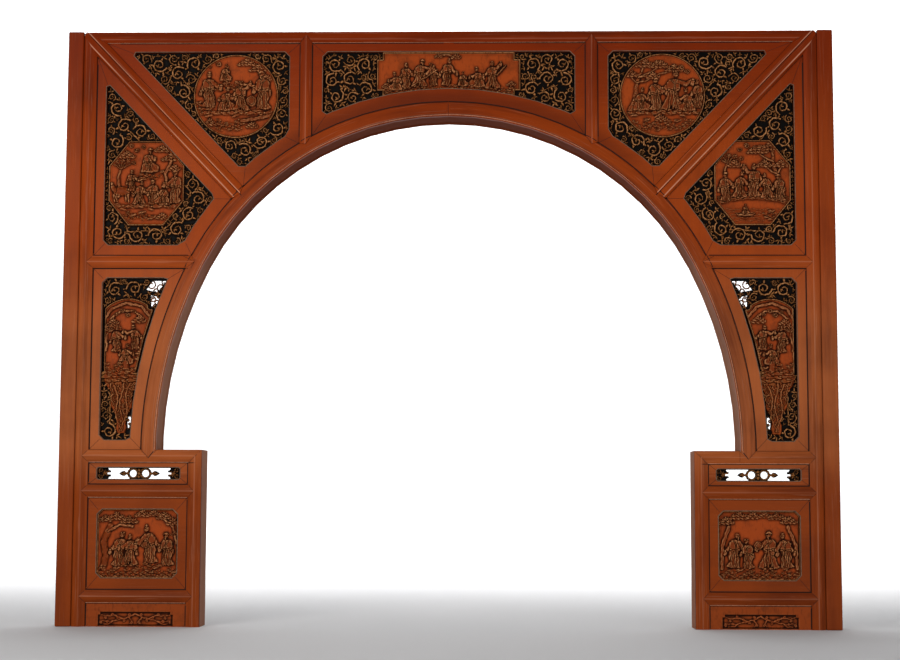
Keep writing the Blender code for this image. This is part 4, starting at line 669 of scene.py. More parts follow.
def person(relief, x, z, tall, facing, lean, arms, hair, pose, flare=0.0):
    # a robed figure: x and z are under its feet, and hands are given as shares of its height
    rise = reliefs["figureRise"]

    def at(a, b):
        return (x + (a + lean * b * b) * facing * tall, z + b * tall)

    if pose == "sit":
        skirt = [at(-0.28, 0.0), at(0.10, -0.02), at(0.36, 0.02), at(0.38, 0.20), at(0.22, 0.30),
                 at(0.14, 0.42), at(-0.14, 0.42), at(-0.27, 0.20)]
        shoulderZ, headZ, hem = 0.62, 0.80, 0.0
    elif pose == "stride":
        skirt = [at(-0.30, 0.03), at(-0.16, 0.0), at(-0.04, 0.13), at(0.16, 0.0), at(0.28, 0.04),
                 at(0.13, 0.34), at(0.09, 0.52), at(-0.11, 0.52), at(-0.15, 0.34)]
        shoulderZ, headZ, hem = 0.76, 0.90, 0.0
    else:
        skirt = [at(-0.20 - flare, 0.04), at(-0.07, 0.0), at(0.11 + flare, 0.03), at(0.15, 0.20),
                 at(0.10, 0.34), at(0.12, 0.54), at(-0.12, 0.54), at(-0.17, 0.34), at(-0.12, 0.18)]
        shoulderZ, headZ, hem = 0.76, 0.90, 0.02
    waist = shoulderZ - 0.26
    for side in (-0.09, 0.09):
        relief.dome(*at(side + 0.02, hem), tall * 0.055, tall * 0.028, rise * 0.9)
    back = arms[1]
    sleeve(relief, at(-0.10, shoulderZ - 0.02), at(*back), tall * 0.105, tall * 0.15, rise * 0.88)
    fan = at(0.0, waist + 0.25)
    relief.slab(skirt, rise * 0.94, tall * 0.07, (fan[0], fan[1], 34, rise * 0.20))
    chest = [at(-0.15, waist), at(0.14, waist), at(0.17, shoulderZ - 0.06), at(0.09, shoulderZ + 0.03),
             at(-0.10, shoulderZ + 0.03), at(-0.18, shoulderZ - 0.06)]
    relief.slab(chest, rise * 1.0, tall * 0.06, None, 0.7)
    relief.stroke([at(-0.13, waist + 0.01), at(0.0, waist - 0.015), at(0.12, waist + 0.01)], tall * 0.045,
                  rise * 1.06)
    relief.stroke([at(0.03, waist), at(0.05, waist - 0.12), at(0.03, waist - 0.24)], tall * 0.028,
                  rise * 1.04)
    relief.stroke([at(-0.07, shoulderZ), at(0.02, shoulderZ - 0.10), at(0.02, waist)], tall * 0.02,
                  rise * 1.10)
    sleeve(relief, at(0.09, shoulderZ - 0.03), at(*arms[0]), tall * 0.11, tall * 0.17, rise)
    for fold in (-0.07, 0.0, 0.06):
        relief.stroke([at(fold, waist - 0.02), at(fold * 1.6 + 0.03, waist * 0.5), at(fold * 1.3, 0.05)],
                      tall * 0.030, rise * 1.02, groove=0.8)
    head(relief, *at(0.03, headZ), tall * 0.098, facing, hair)


def pine(relief, x, z, tall, lean, pads):
    # a bent trunk with flat foliage pads, each given as (share across, share up, width share)
    rise, thick = reliefs["figureRise"], trunks["pine"]
    steps = np.linspace(0, 1, 9)
    line = [(x + lean * tall * s + tall * 0.035 * math.sin(s * 7), z + tall * s) for s in steps]
    relief.stroke(line, tall * thick * (1.15 - 0.75 * steps), rise * 0.8, 2.0, 0.15)
    for index in range(8):
        a, b = line[index]
        relief.dome(a, b, tall * thick * 0.22, tall * thick * 0.13, rise * 0.88, 0.8, groove=0.5)
    for across, up, wide in pads:
        cx, cz = x + (lean * up + across) * tall, z + up * tall
        root = line[min(int(up * 7), 7)]
        relief.stroke([root, ((root[0] + cx) / 2, (root[1] + cz) / 2 - tall * 0.02), (cx, cz)],
                      [tall * 0.035, tall * 0.03, tall * 0.02], rise * 0.8)
        foliage(relief, cx, cz, wide * tall)


def foliage(relief, x, z, wide):
    # a pad of leaf clusters, rounded on top and flat below
    rise = reliefs["figureRise"]
    count = max(3, int(wide / 0.007))
    for row, (level, share) in enumerate(((0.0, 1.0), (0.30, 0.72), (0.52, 0.36))):
        many = max(1, int(count * share))
        for index in range(many):
            offset = (index + 0.5) / many * 2 - 1
            cx = x + offset * wide * share
            cz = z + wide * level * (1 - offset * offset * 0.5)
            size = wide / count * 1.25
            for turn in (-0.9, 0.0, 0.9):
                leaf(relief, cx, cz - size * 0.4, math.pi / 2 + turn, size * 1.5, size * 0.62,
                     rise * (0.75 + 0.08 * row))


def broadTree(relief, x, z, tall, lean, spread):
    # a bent trunk with a fan of branches that end in rosettes of leaves
    rise, thick = reliefs["figureRise"], trunks["broad"]
    steps = np.linspace(0, 1, 9)
    line = [(x + lean * tall * s * s + tall * 0.03 * math.sin(s * 9), z + tall * s) for s in steps]
    relief.stroke(line, tall * thick * (1.2 - 0.8 * steps), rise * 0.82, 2.0, 0.2)
    top = line[-1]
    count = max(5, int(spread / 0.011))
    for index in range(count):
        share = index / (count - 1) * 2 - 1
        cx, cz = top[0] + share * spread, top[1] - share * share * spread * 0.25
        relief.stroke([line[6], ((line[6][0] + cx) / 2, (line[6][1] + cz) / 2 + 0.002), (cx, cz)],
                      [0.004, 0.0035, 0.002], rise * 0.75)
        for ring in range(5):
            turn = ring / 5 * 2 * math.pi + index
            leaf(relief, cx, cz, turn, 0.0105, 0.0052, rise * (0.72 + 0.06 * (index % 3)))


def rocks(relief, left, right, low, high, seed):
    # a heap of flat ledges with dark gaps between them and an uneven top
    rise = reliefs["figureRise"]
    tall = min(max((high - low) * 0.22, 0.0042), 0.0070)
    rows = max(1, round((high - low) / (tall * 1.25)))
    for row in range(rows):
        count = max(1, round((right - left) / (tall * 4.2)))
        for index in range(count + row % 2):
            wave = math.sin(seed * 3 + index * 2.1 + row * 4.7)
            cx = left + (right - left) * (index + 0.5 - 0.5 * (row % 2) + 0.25 * wave) / count
            top = low + (high - low) * (0.45 + 0.55 * math.sin(seed + index * 1.9) ** 2)
            cz = low + tall * 0.5 + row * tall * 1.15 + tall * 0.3 * wave
            if cz < top or row == 0:
                size = tall * (2.1 + 0.6 * wave)
                relief.dome(cx, cz, size, tall * 0.72, rise * (0.62 + 0.14 * wave), 0.22 * wave, 3.0)
                relief.dome(cx - size * 0.3, cz + tall * 0.2, size * 0.5, tall * 0.26, rise * 0.92,
                            0.3 * wave, 2.0, 0.8)


def ledge(relief, left, right, z, thick):
    # an uneven shelf of rock that runs across a scene
    rise = reliefs["figureRise"]
    count = max(4, round((right - left) / (thick * 2.4)))
    for index in range(count):
        wave = math.sin(index * 2.7 + z * 90)
        cx = left + (right - left) * (index + 0.5) / count
        size = (right - left) / count * (0.78 + 0.16 * wave)
        relief.dome(cx, z + thick * 0.22 * wave, size, thick * (0.46 + 0.14 * wave), rise * 0.74,
                    0.16 * wave, 3.0)
        relief.dome(cx + size * 0.3, z + thick * (0.2 * wave + 0.12), size * 0.45, thick * 0.16, rise * 0.95,
                    -0.2 * wave, 2.0, 0.8)
        if index % 3 == 1:
            relief.dome(cx, z - thick * 0.75, size * 0.6, thick * 0.34, rise * 0.6, 0.5 * wave, 2.6)


def terrace(relief, left, right, z, thick, bow, posts, rail):
    # a bowed floor with a balustrade
    rise = reliefs["figureRise"]
    steps = np.linspace(0, 1, 12)
    line = [(left + (right - left) * s, z + bow * 4 * s * (1 - s)) for s in steps]
    relief.stroke(line, thick, rise * 0.72, 4.0)
    for level in (-0.28, 0.28):
        relief.stroke([(a, b + thick * level) for a, b in line], thick * 0.14, rise * 0.86, groove=0.6)
    for index in range(posts):
        s = (index + 0.5) / posts
        a, b = left + (right - left) * s, z + bow * 4 * s * (1 - s)
        relief.stroke([(a, b), (a, b + rail)], 0.0034, rise * 0.8)
        relief.dome(a, b + rail, 0.0026, 0.0028, rise * 0.95)
    for level in (0.45, 0.9):
        relief.stroke([(a, b + rail * level) for a, b in line], 0.0026, rise * 0.78)


def cloud(relief, x, z, wide, count):
    # a row of whorls, wound to the left and the right in turn
    rise = reliefs["figureRise"]
    for index in range(count):
        share = index / max(count - 1, 1) * 2 - 1
        cx, cz = x + share * wide, z + wide * 0.22 * math.cos(share * 2.2 + index)
        size = wide * (0.34 - 0.10 * abs(share))
        steps = np.linspace(0, 1, 12)
        turn = 2.6 - steps * 7.5 * (1 if index % 2 else -1)
        line = [(cx + size * (1 - s * 0.75) * math.cos(t), cz + size * (1 - s * 0.75) * math.sin(t) * 0.8)
                for s, t in zip(steps, turn)]
        relief.stroke(line, size * 0.34, rise * 0.62)


def water(relief, left, right, low, high, rows):
    rise = reliefs["figureRise"]
    for row in range(rows):
        z = low + (high - low) * (row + 0.5) / rows
        steps = np.linspace(0, 1, 22)
        line = [(left + (right - left) * s, z + 0.0022 * math.sin(s * 26 + row * 1.7)) for s in steps]
        relief.stroke(line, 0.0028, rise * 0.36, groove=0.3)


def horse(relief, x, z, size, facing):
    # legs, barrel, neck, head and tail
    rise = reliefs["figureRise"]

    def at(a, b):
        return (x + a * facing * size, z + b * size)

    for a in (-0.42, -0.28, 0.26, 0.40):
        relief.stroke([at(a, 0.5), at(a + 0.03, 0.24), at(a - 0.02, 0.0)],
                      [size * 0.13, size * 0.09, size * 0.08], rise * 0.8)
    relief.dome(*at(0, 0.62), size * 0.52, size * 0.25, rise * 0.95)
    relief.stroke([at(0.40, 0.68), at(0.58, 0.95), at(0.60, 1.05)],
                  [size * 0.28, size * 0.2, size * 0.16], rise)
    relief.stroke([at(0.58, 1.05), at(0.80, 0.90)], [size * 0.2, size * 0.11], rise * 1.02)
    relief.stroke([at(-0.50, 0.70), at(-0.66, 0.50), at(-0.64, 0.25)],
                  [size * 0.1, size * 0.12, size * 0.04], rise * 0.85)


def boat(relief, x, z, wide):
    rise = reliefs["figureRise"]
    hull = ((-1.0, 0.22), (-0.7, -0.10), (0.7, -0.10), (1.0, 0.25), (0.6, 0.08), (-0.6, 0.08))
    relief.slab([(x + wide * a, z + wide * b) for a, b in hull], rise * 0.9, wide * 0.10)


# The ground and rim of each medallion

roundel = {"x": 0.866, "z": 2.137, "radius": 0.172}
octagon = {"x": 1.225, "z": 1.779, "width": 0.306, "height": 0.346, "side": 0.143}
cartouche = {"half": 0.291, "step": 0.023, "stepHeight": 0.030, "top": 2.3175, "reach": 1.220}
rim = {
    # the outer and the inner bar: distance in from the edge, width and height
    "bars": ((0.0022, 0.0044, 0.0085), (0.0078, 0.0028, 0.0055)), "clear": 0.003, "edge": 0.0008,
    "soft": 0.0015, "groundFrom": 0.0042, "groundFade": 0.0012, "goldFrom": 0.0006, "gilding": 0.4,
    # how far in from the edge a scene stops, with the inner bar kept free or carved over
    "both": 0.0095, "most": 0.004, "outer": 0.003}


def octagonOutline(centreX):
    halfWide, halfHigh, flat = octagon["width"] / 2, octagon["height"] / 2, octagon["side"] / 2
    corners = [(halfWide, -flat), (halfWide, flat), (flat, halfHigh), (-flat, halfHigh), (-halfWide, flat),
               (-halfWide, -flat), (-flat, -halfHigh), (flat, -halfHigh)]
    return np.array([(centreX + a, octagon["z"] + b) for a, b in corners])


def cartoucheOutline():
    half, step, high = cartouche["half"], cartouche["step"], cartouche["stepHeight"]
    base = archway["crownZ"] + math.sqrt(cartouche["reach"] ** 2 - half ** 2)
    left = [(step - half, base - high), (step - half, base + high), (-half, base + high),
            (-half, cartouche["top"] - high), (step - half, cartouche["top"] - high),
            (step - half, cartouche["top"] + high)]
    return np.array(left + [(-a, b) for a, b in reversed(left)])


def medallion(relief, inside):
    # raise the ground inside an outline, with a double rim round it; inside is a distance grid
    ground = reliefs["groundRise"]
    lift = ground * np.clip(inside / rim["soft"] + 0.5, 0, 1)
    relief.height = np.where(inside > -rim["edge"], lift, relief.height * (inside < -rim["clear"]))
    for place, wide, rise in rim["bars"]:
        across = np.clip(np.abs(inside - place) / (wide / 2), 0, 1)
        bar = (across < 1) * (ground * 0.5 + rise * np.sqrt(1 - across ** 2))
        relief.height = np.maximum(relief.height, bar)
    relief.zone = np.maximum(relief.zone, np.clip((inside - rim["groundFrom"]) / rim["groundFade"], 0, 1))
    relief.zone = np.maximum(relief.zone, (inside > -rim["goldFrom"]) * rim["gilding"])
    relief.base = ground


def carveInside(relief, inside, bars, carve):
    # a medallion with its scene, which stops short of the outer bar of the rim, or of both bars
    medallion(relief, inside)
    before = relief.height.copy()
    carve()
    relief.height = np.where(inside > rim[bars], relief.height, before)
    relief.height *= relief.window > 0


narrow = {
    "x": 1.288, "z": 1.150, "unit": 0.104, "inset": 0.012, "floor": 0.990, "round": 0.128,
    "archLift": 0.030, "strand": 0.0030, "strandLift": 0.004, "waterFoot": 0.766, "waterAside": 0.020,
    "waterHalf": 0.074, "waterPoint": 0.010, "waterClear": 0.002, "waterLap": 0.006,
    "waterRise": 0.0068, "waterSink": 0.004, "waterZone": 0.72, "whorls": 9,
    # stems in each pierced corner: across, up and radius in shares of it, and the start in radians
    "stems": ((0.25, 0.62, 0.36, 0.4), (0.72, 0.40, 0.36, 2.6), (0.50, 0.08, 0.22, 4.4),
              (0.90, 0.92, 0.24, 3.6))}


def holeScrolls(name, relief, material):
    # round stems that wind across the pierced corners, where daylight shows between them
    y = archway["plateY"] + narrow["strandLift"]
    steps = np.linspace(0, 1, 30)
    bars = []
    for hole in relief.loops[1:]:
        low, high = hole.min(0), hole.max(0)
        size = high - low
        hand = 1 if low[0] > 0 else -1
        for a, b, share, entry in narrow["stems"]:
            x, z = low[0] + size[0] * (a if hand < 0 else 1 - a), low[1] + size[1] * b
            radius = share * min(size[0], size[1] * 1.3)
            line = [(x + hand * radius * (1 - 0.70 * s) * math.cos(entry + s * 8.4), y,
                     z + radius * (1 - 0.70 * s) * math.sin(entry + s * 8.4)) for s in steps]
            bars.append(tube(line, narrow["strand"]))
    barPiece(name, bars, material, "carved_wood")


def narrowAway(x, z, side):
    # distance outside the medallion and the water of a narrow panel
    cx, cz = narrow["x"] * side, narrow["z"] + narrow["archLift"]
    above = np.hypot(x - cx, z - cz) - narrow["round"]
    foot, point = narrow["waterFoot"], narrow["waterPoint"] + narrow["waterClear"]
    wide = np.clip((z - foot) / (narrow["floor"] - foot), 0, 1) * (narrow["waterHalf"] - point) + point
    below = np.maximum(np.abs(x - cx - side * narrow["waterAside"]) - wide, foot - z)
    return np.where(z > cz, above, np.where(z > narrow["floor"], -1.0, below))


def narrowWater(relief, side):
    # rocks and water that narrow to a point, under the medallion of a narrow panel
    top, foot = narrow["floor"] + narrow["waterLap"], narrow["waterFoot"]
    middle = (narrow["x"] + narrow["waterAside"]) * side
    half, point = narrow["waterHalf"], narrow["waterPoint"]
    rise = reliefs["figureRise"]
    steps = np.linspace(0, 1, 12)
    wide = half - (half - point) * steps ** 0.8 + 0.007 * np.sin(steps * 15)
    left = [(middle - w, top + (foot - top) * s) for w, s in zip(wide, steps)]
    right = [(middle + w, top + (foot - top) * s) for w, s in zip(wide[::-1], steps[::-1])]
    relief.base = 0.0
    relief.slab(left + right, narrow["waterRise"], narrow["waterSink"])
    body = insideDistance(relief.x, relief.z, left + right) > -0.001
    relief.zone = np.maximum(relief.zone * (1 - body), body * narrow["waterZone"])
    relief.base = narrow["waterSink"]
    for row in range(narrow["whorls"]):
        s = row / narrow["whorls"]
        reach = half - 0.004 - (half - point - 0.004) * s ** 0.8
        z = top + (foot - top) * (s + 0.05)
        for index, share in enumerate((-0.55, 0.5) if row < 7 else (0.0,)):
            hand = 1 - 2 * ((row + index) % 2)
            radius = reach * 0.50
            curl(relief, middle + reach * share, z - 0.006 * index, radius, 1.2 + row, hand, rise * 0.72)
    for lane in (-0.6, 0.0, 0.6):
        wave = 0.008 * np.sin(steps * 9 + lane * 3)
        relief.stroke([(middle + (0.060 - 0.052 * s) * lane + w, top + (foot - top) * s * 0.96)
                       for s, w in zip(steps, wave)], 0.008 - 0.003 * steps, rise * 0.66, 2.0, 0.2)
    relief.zone = np.maximum(relief.zone, (relief.z > top - 0.012) * body)
    for level, reach in ((0.010, 0.074), (-0.004, 0.070), (-0.018, 0.062)):
        ledge(relief, middle - reach, middle + reach, top + level, 0.017)
    relief.height *= relief.window > 0


def carveScene(relief, name, x, z, unit, side=1):
    # the motifs of one scene, placed in units from its middle
    for kind, across, up, *rest in scenes[name]:
        cx, cz = x + side * across * unit, z + up * unit
        if kind == "person":
            tall, facing, hair, pose, arms = rest
            person(relief, cx, cz, tall * unit, facing * side, leans[arms], poses[arms], hair, pose, 0.03)
        elif kind == "line":
            points, wide = rest
            line = [(x + side * a * unit, z + b * unit) for a, b in points]
            relief.stroke(line, wide * unit, reliefs["figureRise"] * 0.78, 2.0, 0.15)
        elif kind == "foliage":
            foliage(relief, cx, cz, rest[0] * unit)
        elif kind == "cloud":
            cloud(relief, cx, cz, rest[0] * unit, rest[1])
        elif kind == "drum":
            relief.dome(cx, cz, rest[0] * unit, rest[0] * unit, reliefs["figureRise"] * 1.1)
            relief.dome(cx, cz, rest[0] * unit * 0.6, rest[0] * unit * 0.6, reliefs["figureRise"] * 1.25)
        elif kind == "tree":
            tall, lean, spread = rest
            broadTree(relief, cx, cz, tall * unit, lean * side, spread * unit)
        elif kind == "pine":
            tall, lean, pads = rest
            pine(relief, cx, cz, tall * unit, lean * side, [(a * side, b, c) for a, b, c in pads])
        elif kind == "horse":
            horse(relief, cx, cz, rest[0] * unit, rest[1] * side)
        elif kind == "boat":
            boat(relief, cx, cz, rest[0] * unit)
        else:
            right, *more = rest
            left, right = sorted((cx, x + side * right * unit))
            if kind == "ledge":
                ledge(relief, left, right, cz, more[0] * unit)
            elif kind == "terrace":
                thick, bow, posts, rail = more
                terrace(relief, left, right, cz, thick * unit, bow * unit, posts, rail * unit)
            elif kind == "rocks":
                rocks(relief, left, right, cz, z + more[0] * unit, more[1])
            else:
                water(relief, left, right, cz, z + more[0] * unit, more[1])


def centreScene(relief):
    # figures on a strip of rock that follows the arch, between two bushes
    reach = cartouche["reach"]

    def floorAt(x, lift):
        return archway["crownZ"] + math.sqrt((reach + lift) ** 2 - x * x)

    for x, tall in ((-0.252, 0.036), (0.256, 0.050)):
        foliage(relief, x, floorAt(x, 0.018), 0.022)
        foliage(relief, x, floorAt(x, 0.018) + tall * 0.5, 0.018)
    for x in np.linspace(-0.262, 0.262, 15):
        rocks(relief, x - 0.024, x + 0.024, floorAt(x, -0.004), floorAt(x, 0.022), x * 40)
    for x, tall, facing, hair, pose, arms in centreFigures:
        person(relief, x, floorAt(x, 0.014), tall, facing, leans[arms], poses[arms], hair, pose)
    rise = reliefs["figureRise"]
    top = cartouche["top"]
    relief.stroke([(-0.045, top - 0.014), (-0.010, top - 0.010), (0.040, top - 0.022)], 0.006, rise * 0.7)
    foliage(relief, 0.030, top - 0.024, 0.020)
    foliage(relief, -0.040, top - 0.020, 0.016)
    relief.stroke([(-0.150, floorAt(-0.15, 0.02)), (-0.045, floorAt(-0.045, 0.080))], 0.0045, rise * 1.1)
    relief.stroke([(0.196, floorAt(0.196, 0.07)), (0.232, floorAt(0.232, 0.118))], 0.0045, rise * 1.1)
    relief.dome(0.096, floorAt(0.096, 0.030), 0.012, 0.012, rise * 1.1)


fret = {
    # in half heights of the fret, from its middle
    "ring": 1.05, "ringReach": 0.62, "finial": 3.35, "rise": 0.62,
    # reach, width and share of the rise of the two bars of a ring
    "bars": ((0.76, 0.22, 1.0), (0.94, 0.10, 0.7))}


def fretCarving(relief):
    # two collared rings with finials between leafy ends
    low, high = relief.low + reliefs["lap"], relief.high - reliefs["lap"]
    x, z = (low + high) / 2
    half = (high[1] - low[1]) / 2
    rise = reliefs["strandRise"] * fret["rise"]
    steps = np.linspace(0, 2 * math.pi, 25)
    for hand in (-1, 1):
        cx = x + hand * fret["ring"] * half
        for reach, wide, share in fret["bars"]:
            ring = [(cx + half * reach * math.cos(t), z + half * reach * math.sin(t)) for t in steps]
            relief.stroke(ring, half * wide, rise * share, groove=0.4)
        relief.dome(x, z + hand * half * 0.5, half * 0.30, half * 0.34, rise)
        start = x + hand * (fret["ring"] + fret["ringReach"]) * half
        length = (fret["finial"] - fret["ring"] - fret["ringReach"]) * half
        direction = 0 if hand > 0 else math.pi
        for turn, share in ((0.0, 1.0), (0.45, 0.72), (-0.45, 0.72)):
            leaf(relief, start, z, direction + turn, length * share, half * 0.40, rise, -turn)
        end = low[0] if hand < 0 else high[0]
        for level in (-1, 1):
            cz = z + level * half * 0.52
            curl(relief, end - hand * half * 0.62, cz, half * 0.46, direction + level * 0.9,
                 level * hand, rise)
            for turn, reach in ((0.0, 1.5), (0.5, 1.1)):
                leaf(relief, end - hand * half * 1.05, z + level * half * 0.35,
                     direction + math.pi + level * hand * (0.5 + turn), half * reach, half * 0.36, rise)
        leaf(relief, end - hand * half * 0.9, z, direction + math.pi, half * 1.5, half * 0.34, rise)
    relief.dome(x, z, half * 0.24, half * 0.24, rise * 1.15)
    relief.height *= relief.window > -reliefs["lap"] * 0.6


branchBoard = {
    "margin": 0.050, "top": 0.058, "foot": 0.004, "cut": 0.010, "sink": 0.0028, "rise": 0.0026,
    "edge": 0.0016, "groove": 0.0020, "petal": 0.0034, "contrast": 4.5,
    # lines of each branch and places of its blossoms, in half widths and heights of the field
    "branches": (((0.0, 0.88), (0.18, 0.62), (0.42, 0.46), (0.66, 0.30), (0.94, 0.36)),
                 ((0.34, 0.50), (0.56, 0.76), (0.78, 0.70), (0.92, 0.80)),
                 ((0.18, 0.64), (0.10, 0.34), (0.16, 0.14)), ((0.60, 0.34), (0.70, 0.14), (0.84, 0.12))),
    "blossoms": ((0.30, 0.40), (0.46, 0.62), (0.62, 0.82), (0.80, 0.56), (0.92, 0.24), (0.10, 0.24),
                 (0.74, 0.32), (0.16, 0.80))}


def branchCarving(relief, middleX):
    # a sunk field with cut top corners, and two blossom branches in it
    look = branchBoard
    low, high = relief.low, relief.high
    left, right = low[0] + look["margin"], high[0] - look["margin"]
    cut, top = look["cut"], look["top"]
    field = np.array([(left, look["foot"]), (right, look["foot"]), (right, top - cut),
                      (right - cut, top - cut), (right - cut, top), (left + cut, top),
                      (left + cut, top - cut), (left, top - cut)])
    inside = insideDistance(relief.x, relief.z, field)
    relief.height = look["sink"] * (1 - np.clip(inside / look["edge"] + 0.5, 0, 1))
    groove = np.clip(1.4 - np.abs(inside - look["groove"]) / look["groove"], 0, 1)
    relief.height -= groove * look["sink"]
    relief.zone[:] = 1.0
    half, tall, rise = (right - left) / 2, top - look["foot"], look["rise"]
    for hand in (-1, 1):
        def at(a, b):
            return (middleX + hand * a * half, look["foot"] + b * tall)

        for points in look["branches"]:
            line = [at(*p) for p in points]
            relief.stroke(line, np.linspace(0.0056, 0.003, len(line)), rise, groove=0.25)
        for a, b in look["blossoms"]:
            cx, cz = at(a, b)
            reach = look["petal"]
            for petal in range(5):
                turn = petal / 5 * 2 * math.pi + a * 9
                relief.dome(cx + reach * math.cos(turn), cz + reach * math.sin(turn), 0.0026, 0.0024,
                            rise, groove=0.2)


# Meshes

def newObject(name, data):
    thing = bpy.data.objects.new(name, data)
    bpy.context.scene.collection.objects.link(thing)
    return thing


def addPiece(name, mesh, material, slot, *nodes):
    piece = newObject(name, mesh)
    mesh.materials.append(material)
    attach(piece, "root")
    if nodes:
        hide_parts(*nodes)


def reliefPiece(relief, name, material, slot, contrast=1.0):
    # a grid of the heights in front, and the CAD solid's own back and edges behind it
    pitch = reliefs["pitch"]
    snap = np.abs(relief.solid) < pitch * 0.55
    slopeZ, slopeX = np.gradient(relief.solid, pitch)
    x = relief.x - np.where(snap, relief.solid * slopeX, 0)
    z = relief.z - np.where(snap, relief.solid * slopeZ, 0)
    kept = relief.solid > -pitch * 0.55
    cells = kept[:-1, :-1] & kept[1:, :-1] & kept[:-1, 1:] & kept[1:, 1:]
    used = np.zeros(kept.shape, bool)
    for a in (slice(None, -1), slice(1, None)):
        for b in (slice(None, -1), slice(1, None)):
            used[a, b] |= cells
    number = np.cumsum(used.ravel()).reshape(used.shape) - 1
    y = relief.frontY - relief.height
    verts = np.stack([x, y, z], axis=-1)[used]
    quads = np.stack([number[:-1, :-1], number[:-1, 1:], number[1:, 1:], number[1:, :-1]], axis=-1)[cells]
    first = len(verts)
    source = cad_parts[relief.node].data
    flatBack = [p for p in source.polygons
                if max(source.vertices[i].co.y for i in p.vertices) > relief.backY - 0.0001]
    spots, faces = [], []
    place = {}
    for polygon in flatBack:
        face = []
        for i in polygon.vertices:
            co = source.vertices[i].co
            key = (round(co.x, 5), round(max(co.y, relief.edgeY), 5), round(co.z, 5))
            if key not in place:
                place[key] = first + len(spots)
                spots.append(key)
            face.append(place[key])
        faces.append(face)
    mesh = bpy.data.meshes.new(name)
    mesh.from_pydata(verts.tolist() + spots, [], quads.tolist() + faces)
    shown = relief.height * contrast
    look = reliefs
    soft = blurred(shown, look["near"])
    wide = blurred(shown, look["far"])
    level = np.clip(relief.height / (reliefs["groundRise"] + reliefs["figureRise"]), 0, 1)
    level = np.where(relief.zone > 0.5, level, np.clip(relief.height / reliefs["strandRise"], 0, 1))
    # hollows below the blurred surface: grime and painted shade
    hollow = np.maximum(np.clip((soft - shown) / look["nearHollow"], 0, 1),
                        np.clip((wide - shown) / look["farHollow"], 0, 1)) * look["darkest"]
    # crests above the blurred surface: wear and a painted highlight
    wearAndHighlight = np.clip((shown - soft) / look["nearWearAndHighlight"] - 0.60, 0, 1) * np.clip(level * 2 - 0.6, 0, 1)
    wearAndHighlight = np.maximum(wearAndHighlight, np.clip((shown - wide) / look["farWearAndHighlight"] - 0.70, 0, 1))
    for title, grid in (("level", level), ("hollow", hollow), ("wearAndHighlight", wearAndHighlight), ("zone", relief.zone)):
        values = np.zeros(len(verts) + len(spots), np.float32)
        values[:first] = grid[used]
        mesh.attributes.new(title, "FLOAT", "POINT").data.foreach_set("value", values)
    mesh.validate()
    mesh.shade_smooth()
    mesh.set_sharp_from_angle(angle=math.radians(70))
    addPiece(name, mesh, material, slot, relief.node)


beads = {
    # the edge colour is pale, a painted highlight on the beads along the rails and the ring's arris
    "colour": "7E6450", "radius": 0.0014, "outward": 0.0006, "edge": "D89A78", "edgeRadius": 0.0014,
    "edgeProud": 0.0044, "edgeLift": 0.0012, "topGap": 0.0060, "topStop": 0.085, "topClear": 0.001,
    "arrisAway": 0.0042, "arrisRadius": 0.0009}


def tube(points, radius, closed=False, flat=6):
    # verts and faces of a thin round bar along points in space
    points = [Vector(p) for p in points]
    count = len(points)
    verts, faces = [], []
    for index, point in enumerate(points):
        before = points[index - 1] if closed or index else point
        after = points[(index + 1) % count] if closed or index < count - 1 else point
        inRun = (point - before).normalized() if (point - before).length else (after - point).normalized()
        outRun = (after - point).normalized() if (after - point).length else inRun
        run = (inRun + outRun).normalized()
        stretch = 1 / max(run.dot(inRun), 0.35)
        across = run.cross(Vector((0, 1, 0))).normalized()
        for side in range(flat):
            turn = side / flat * 2 * math.pi
            verts.append(point + across * math.cos(turn) * radius * stretch
                         + Vector((0, 1, 0)) * math.sin(turn) * radius)
    spans = count if closed else count - 1
    for index in range(spans):
        for side in range(flat):
            a, b = index * flat, ((index + 1) % count) * flat
            nextSide = (side + 1) % flat
            faces.append((a + side, a + nextSide, b + nextSide, b + side))
    return verts, faces


def barPiece(name, bars, material, slot="frame_wood"):
    # one piece of several round bars, each the verts and faces of a tube
    verts, faces = [], []
    for some, more in bars:
        faces += [[i + len(verts) for i in face] for face in more]
        verts += some
    mesh = bpy.data.meshes.new(name)
    mesh.from_pydata(verts, [], faces)
    mesh.shade_smooth()
    addPiece(name, mesh, material, slot)


def offsetLoop(loop, amount):
    # a closed outline moved outward by an amount
    doubled = sum(loop[i - 1][0] * p[1] - p[0] * loop[i - 1][1] for i, p in enumerate(loop))
    hand = 1 if doubled > 0 else -1
    moved = []
    for index, point in enumerate(loop):
        here = Vector(point)
        inRun = (here - Vector(loop[index - 1])).normalized()
        outRun = (Vector(loop[(index + 1) % len(loop)]) - here).normalized()
        inNormal = Vector((inRun.y, -inRun.x)) * hand
        outNormal = Vector((outRun.y, -outRun.x)) * hand
        moved.append(here + (inNormal + outNormal) / (1 + inNormal.dot(outNormal)) * amount)
    return moved


def openingBead(name, node, material):
    # a round bead along the edge of each opening of a flat frame
    y = archway["fieldY"]
    lines = [offsetLoop(loop, beads["outward"]) for loop in outlineLoops(node, y)[1:]]
    barPiece(name, [tube([(p.x, y, p.y) for p in line], beads["radius"], True, 8) for line in lines],
             material)


seams = {
    "colour": "1A0B06", "width": 0.0013, "gap": 0.0032, "beside": 0.0015, "lift": 0.0003,
    "sunk": 0.0012, "least": 0.00005, "step": 0.009, "arrow": 0.026, "muntinHead": 0.031,
    "muntinFoot": 0.020, "muntinInset": (0.03, 0.04), "vFoot": 0.034, "darkAway": 0.0074,
    "floorGap": 0.004, "octagonInset": 0.03, "topInset": 0.02, "topStop": 1.34,
    "crackX": 1.157, "crackSway": 0.0006, "crackSteps": 8, "crownLow": 2.0495, "crownHigh": 2.108}


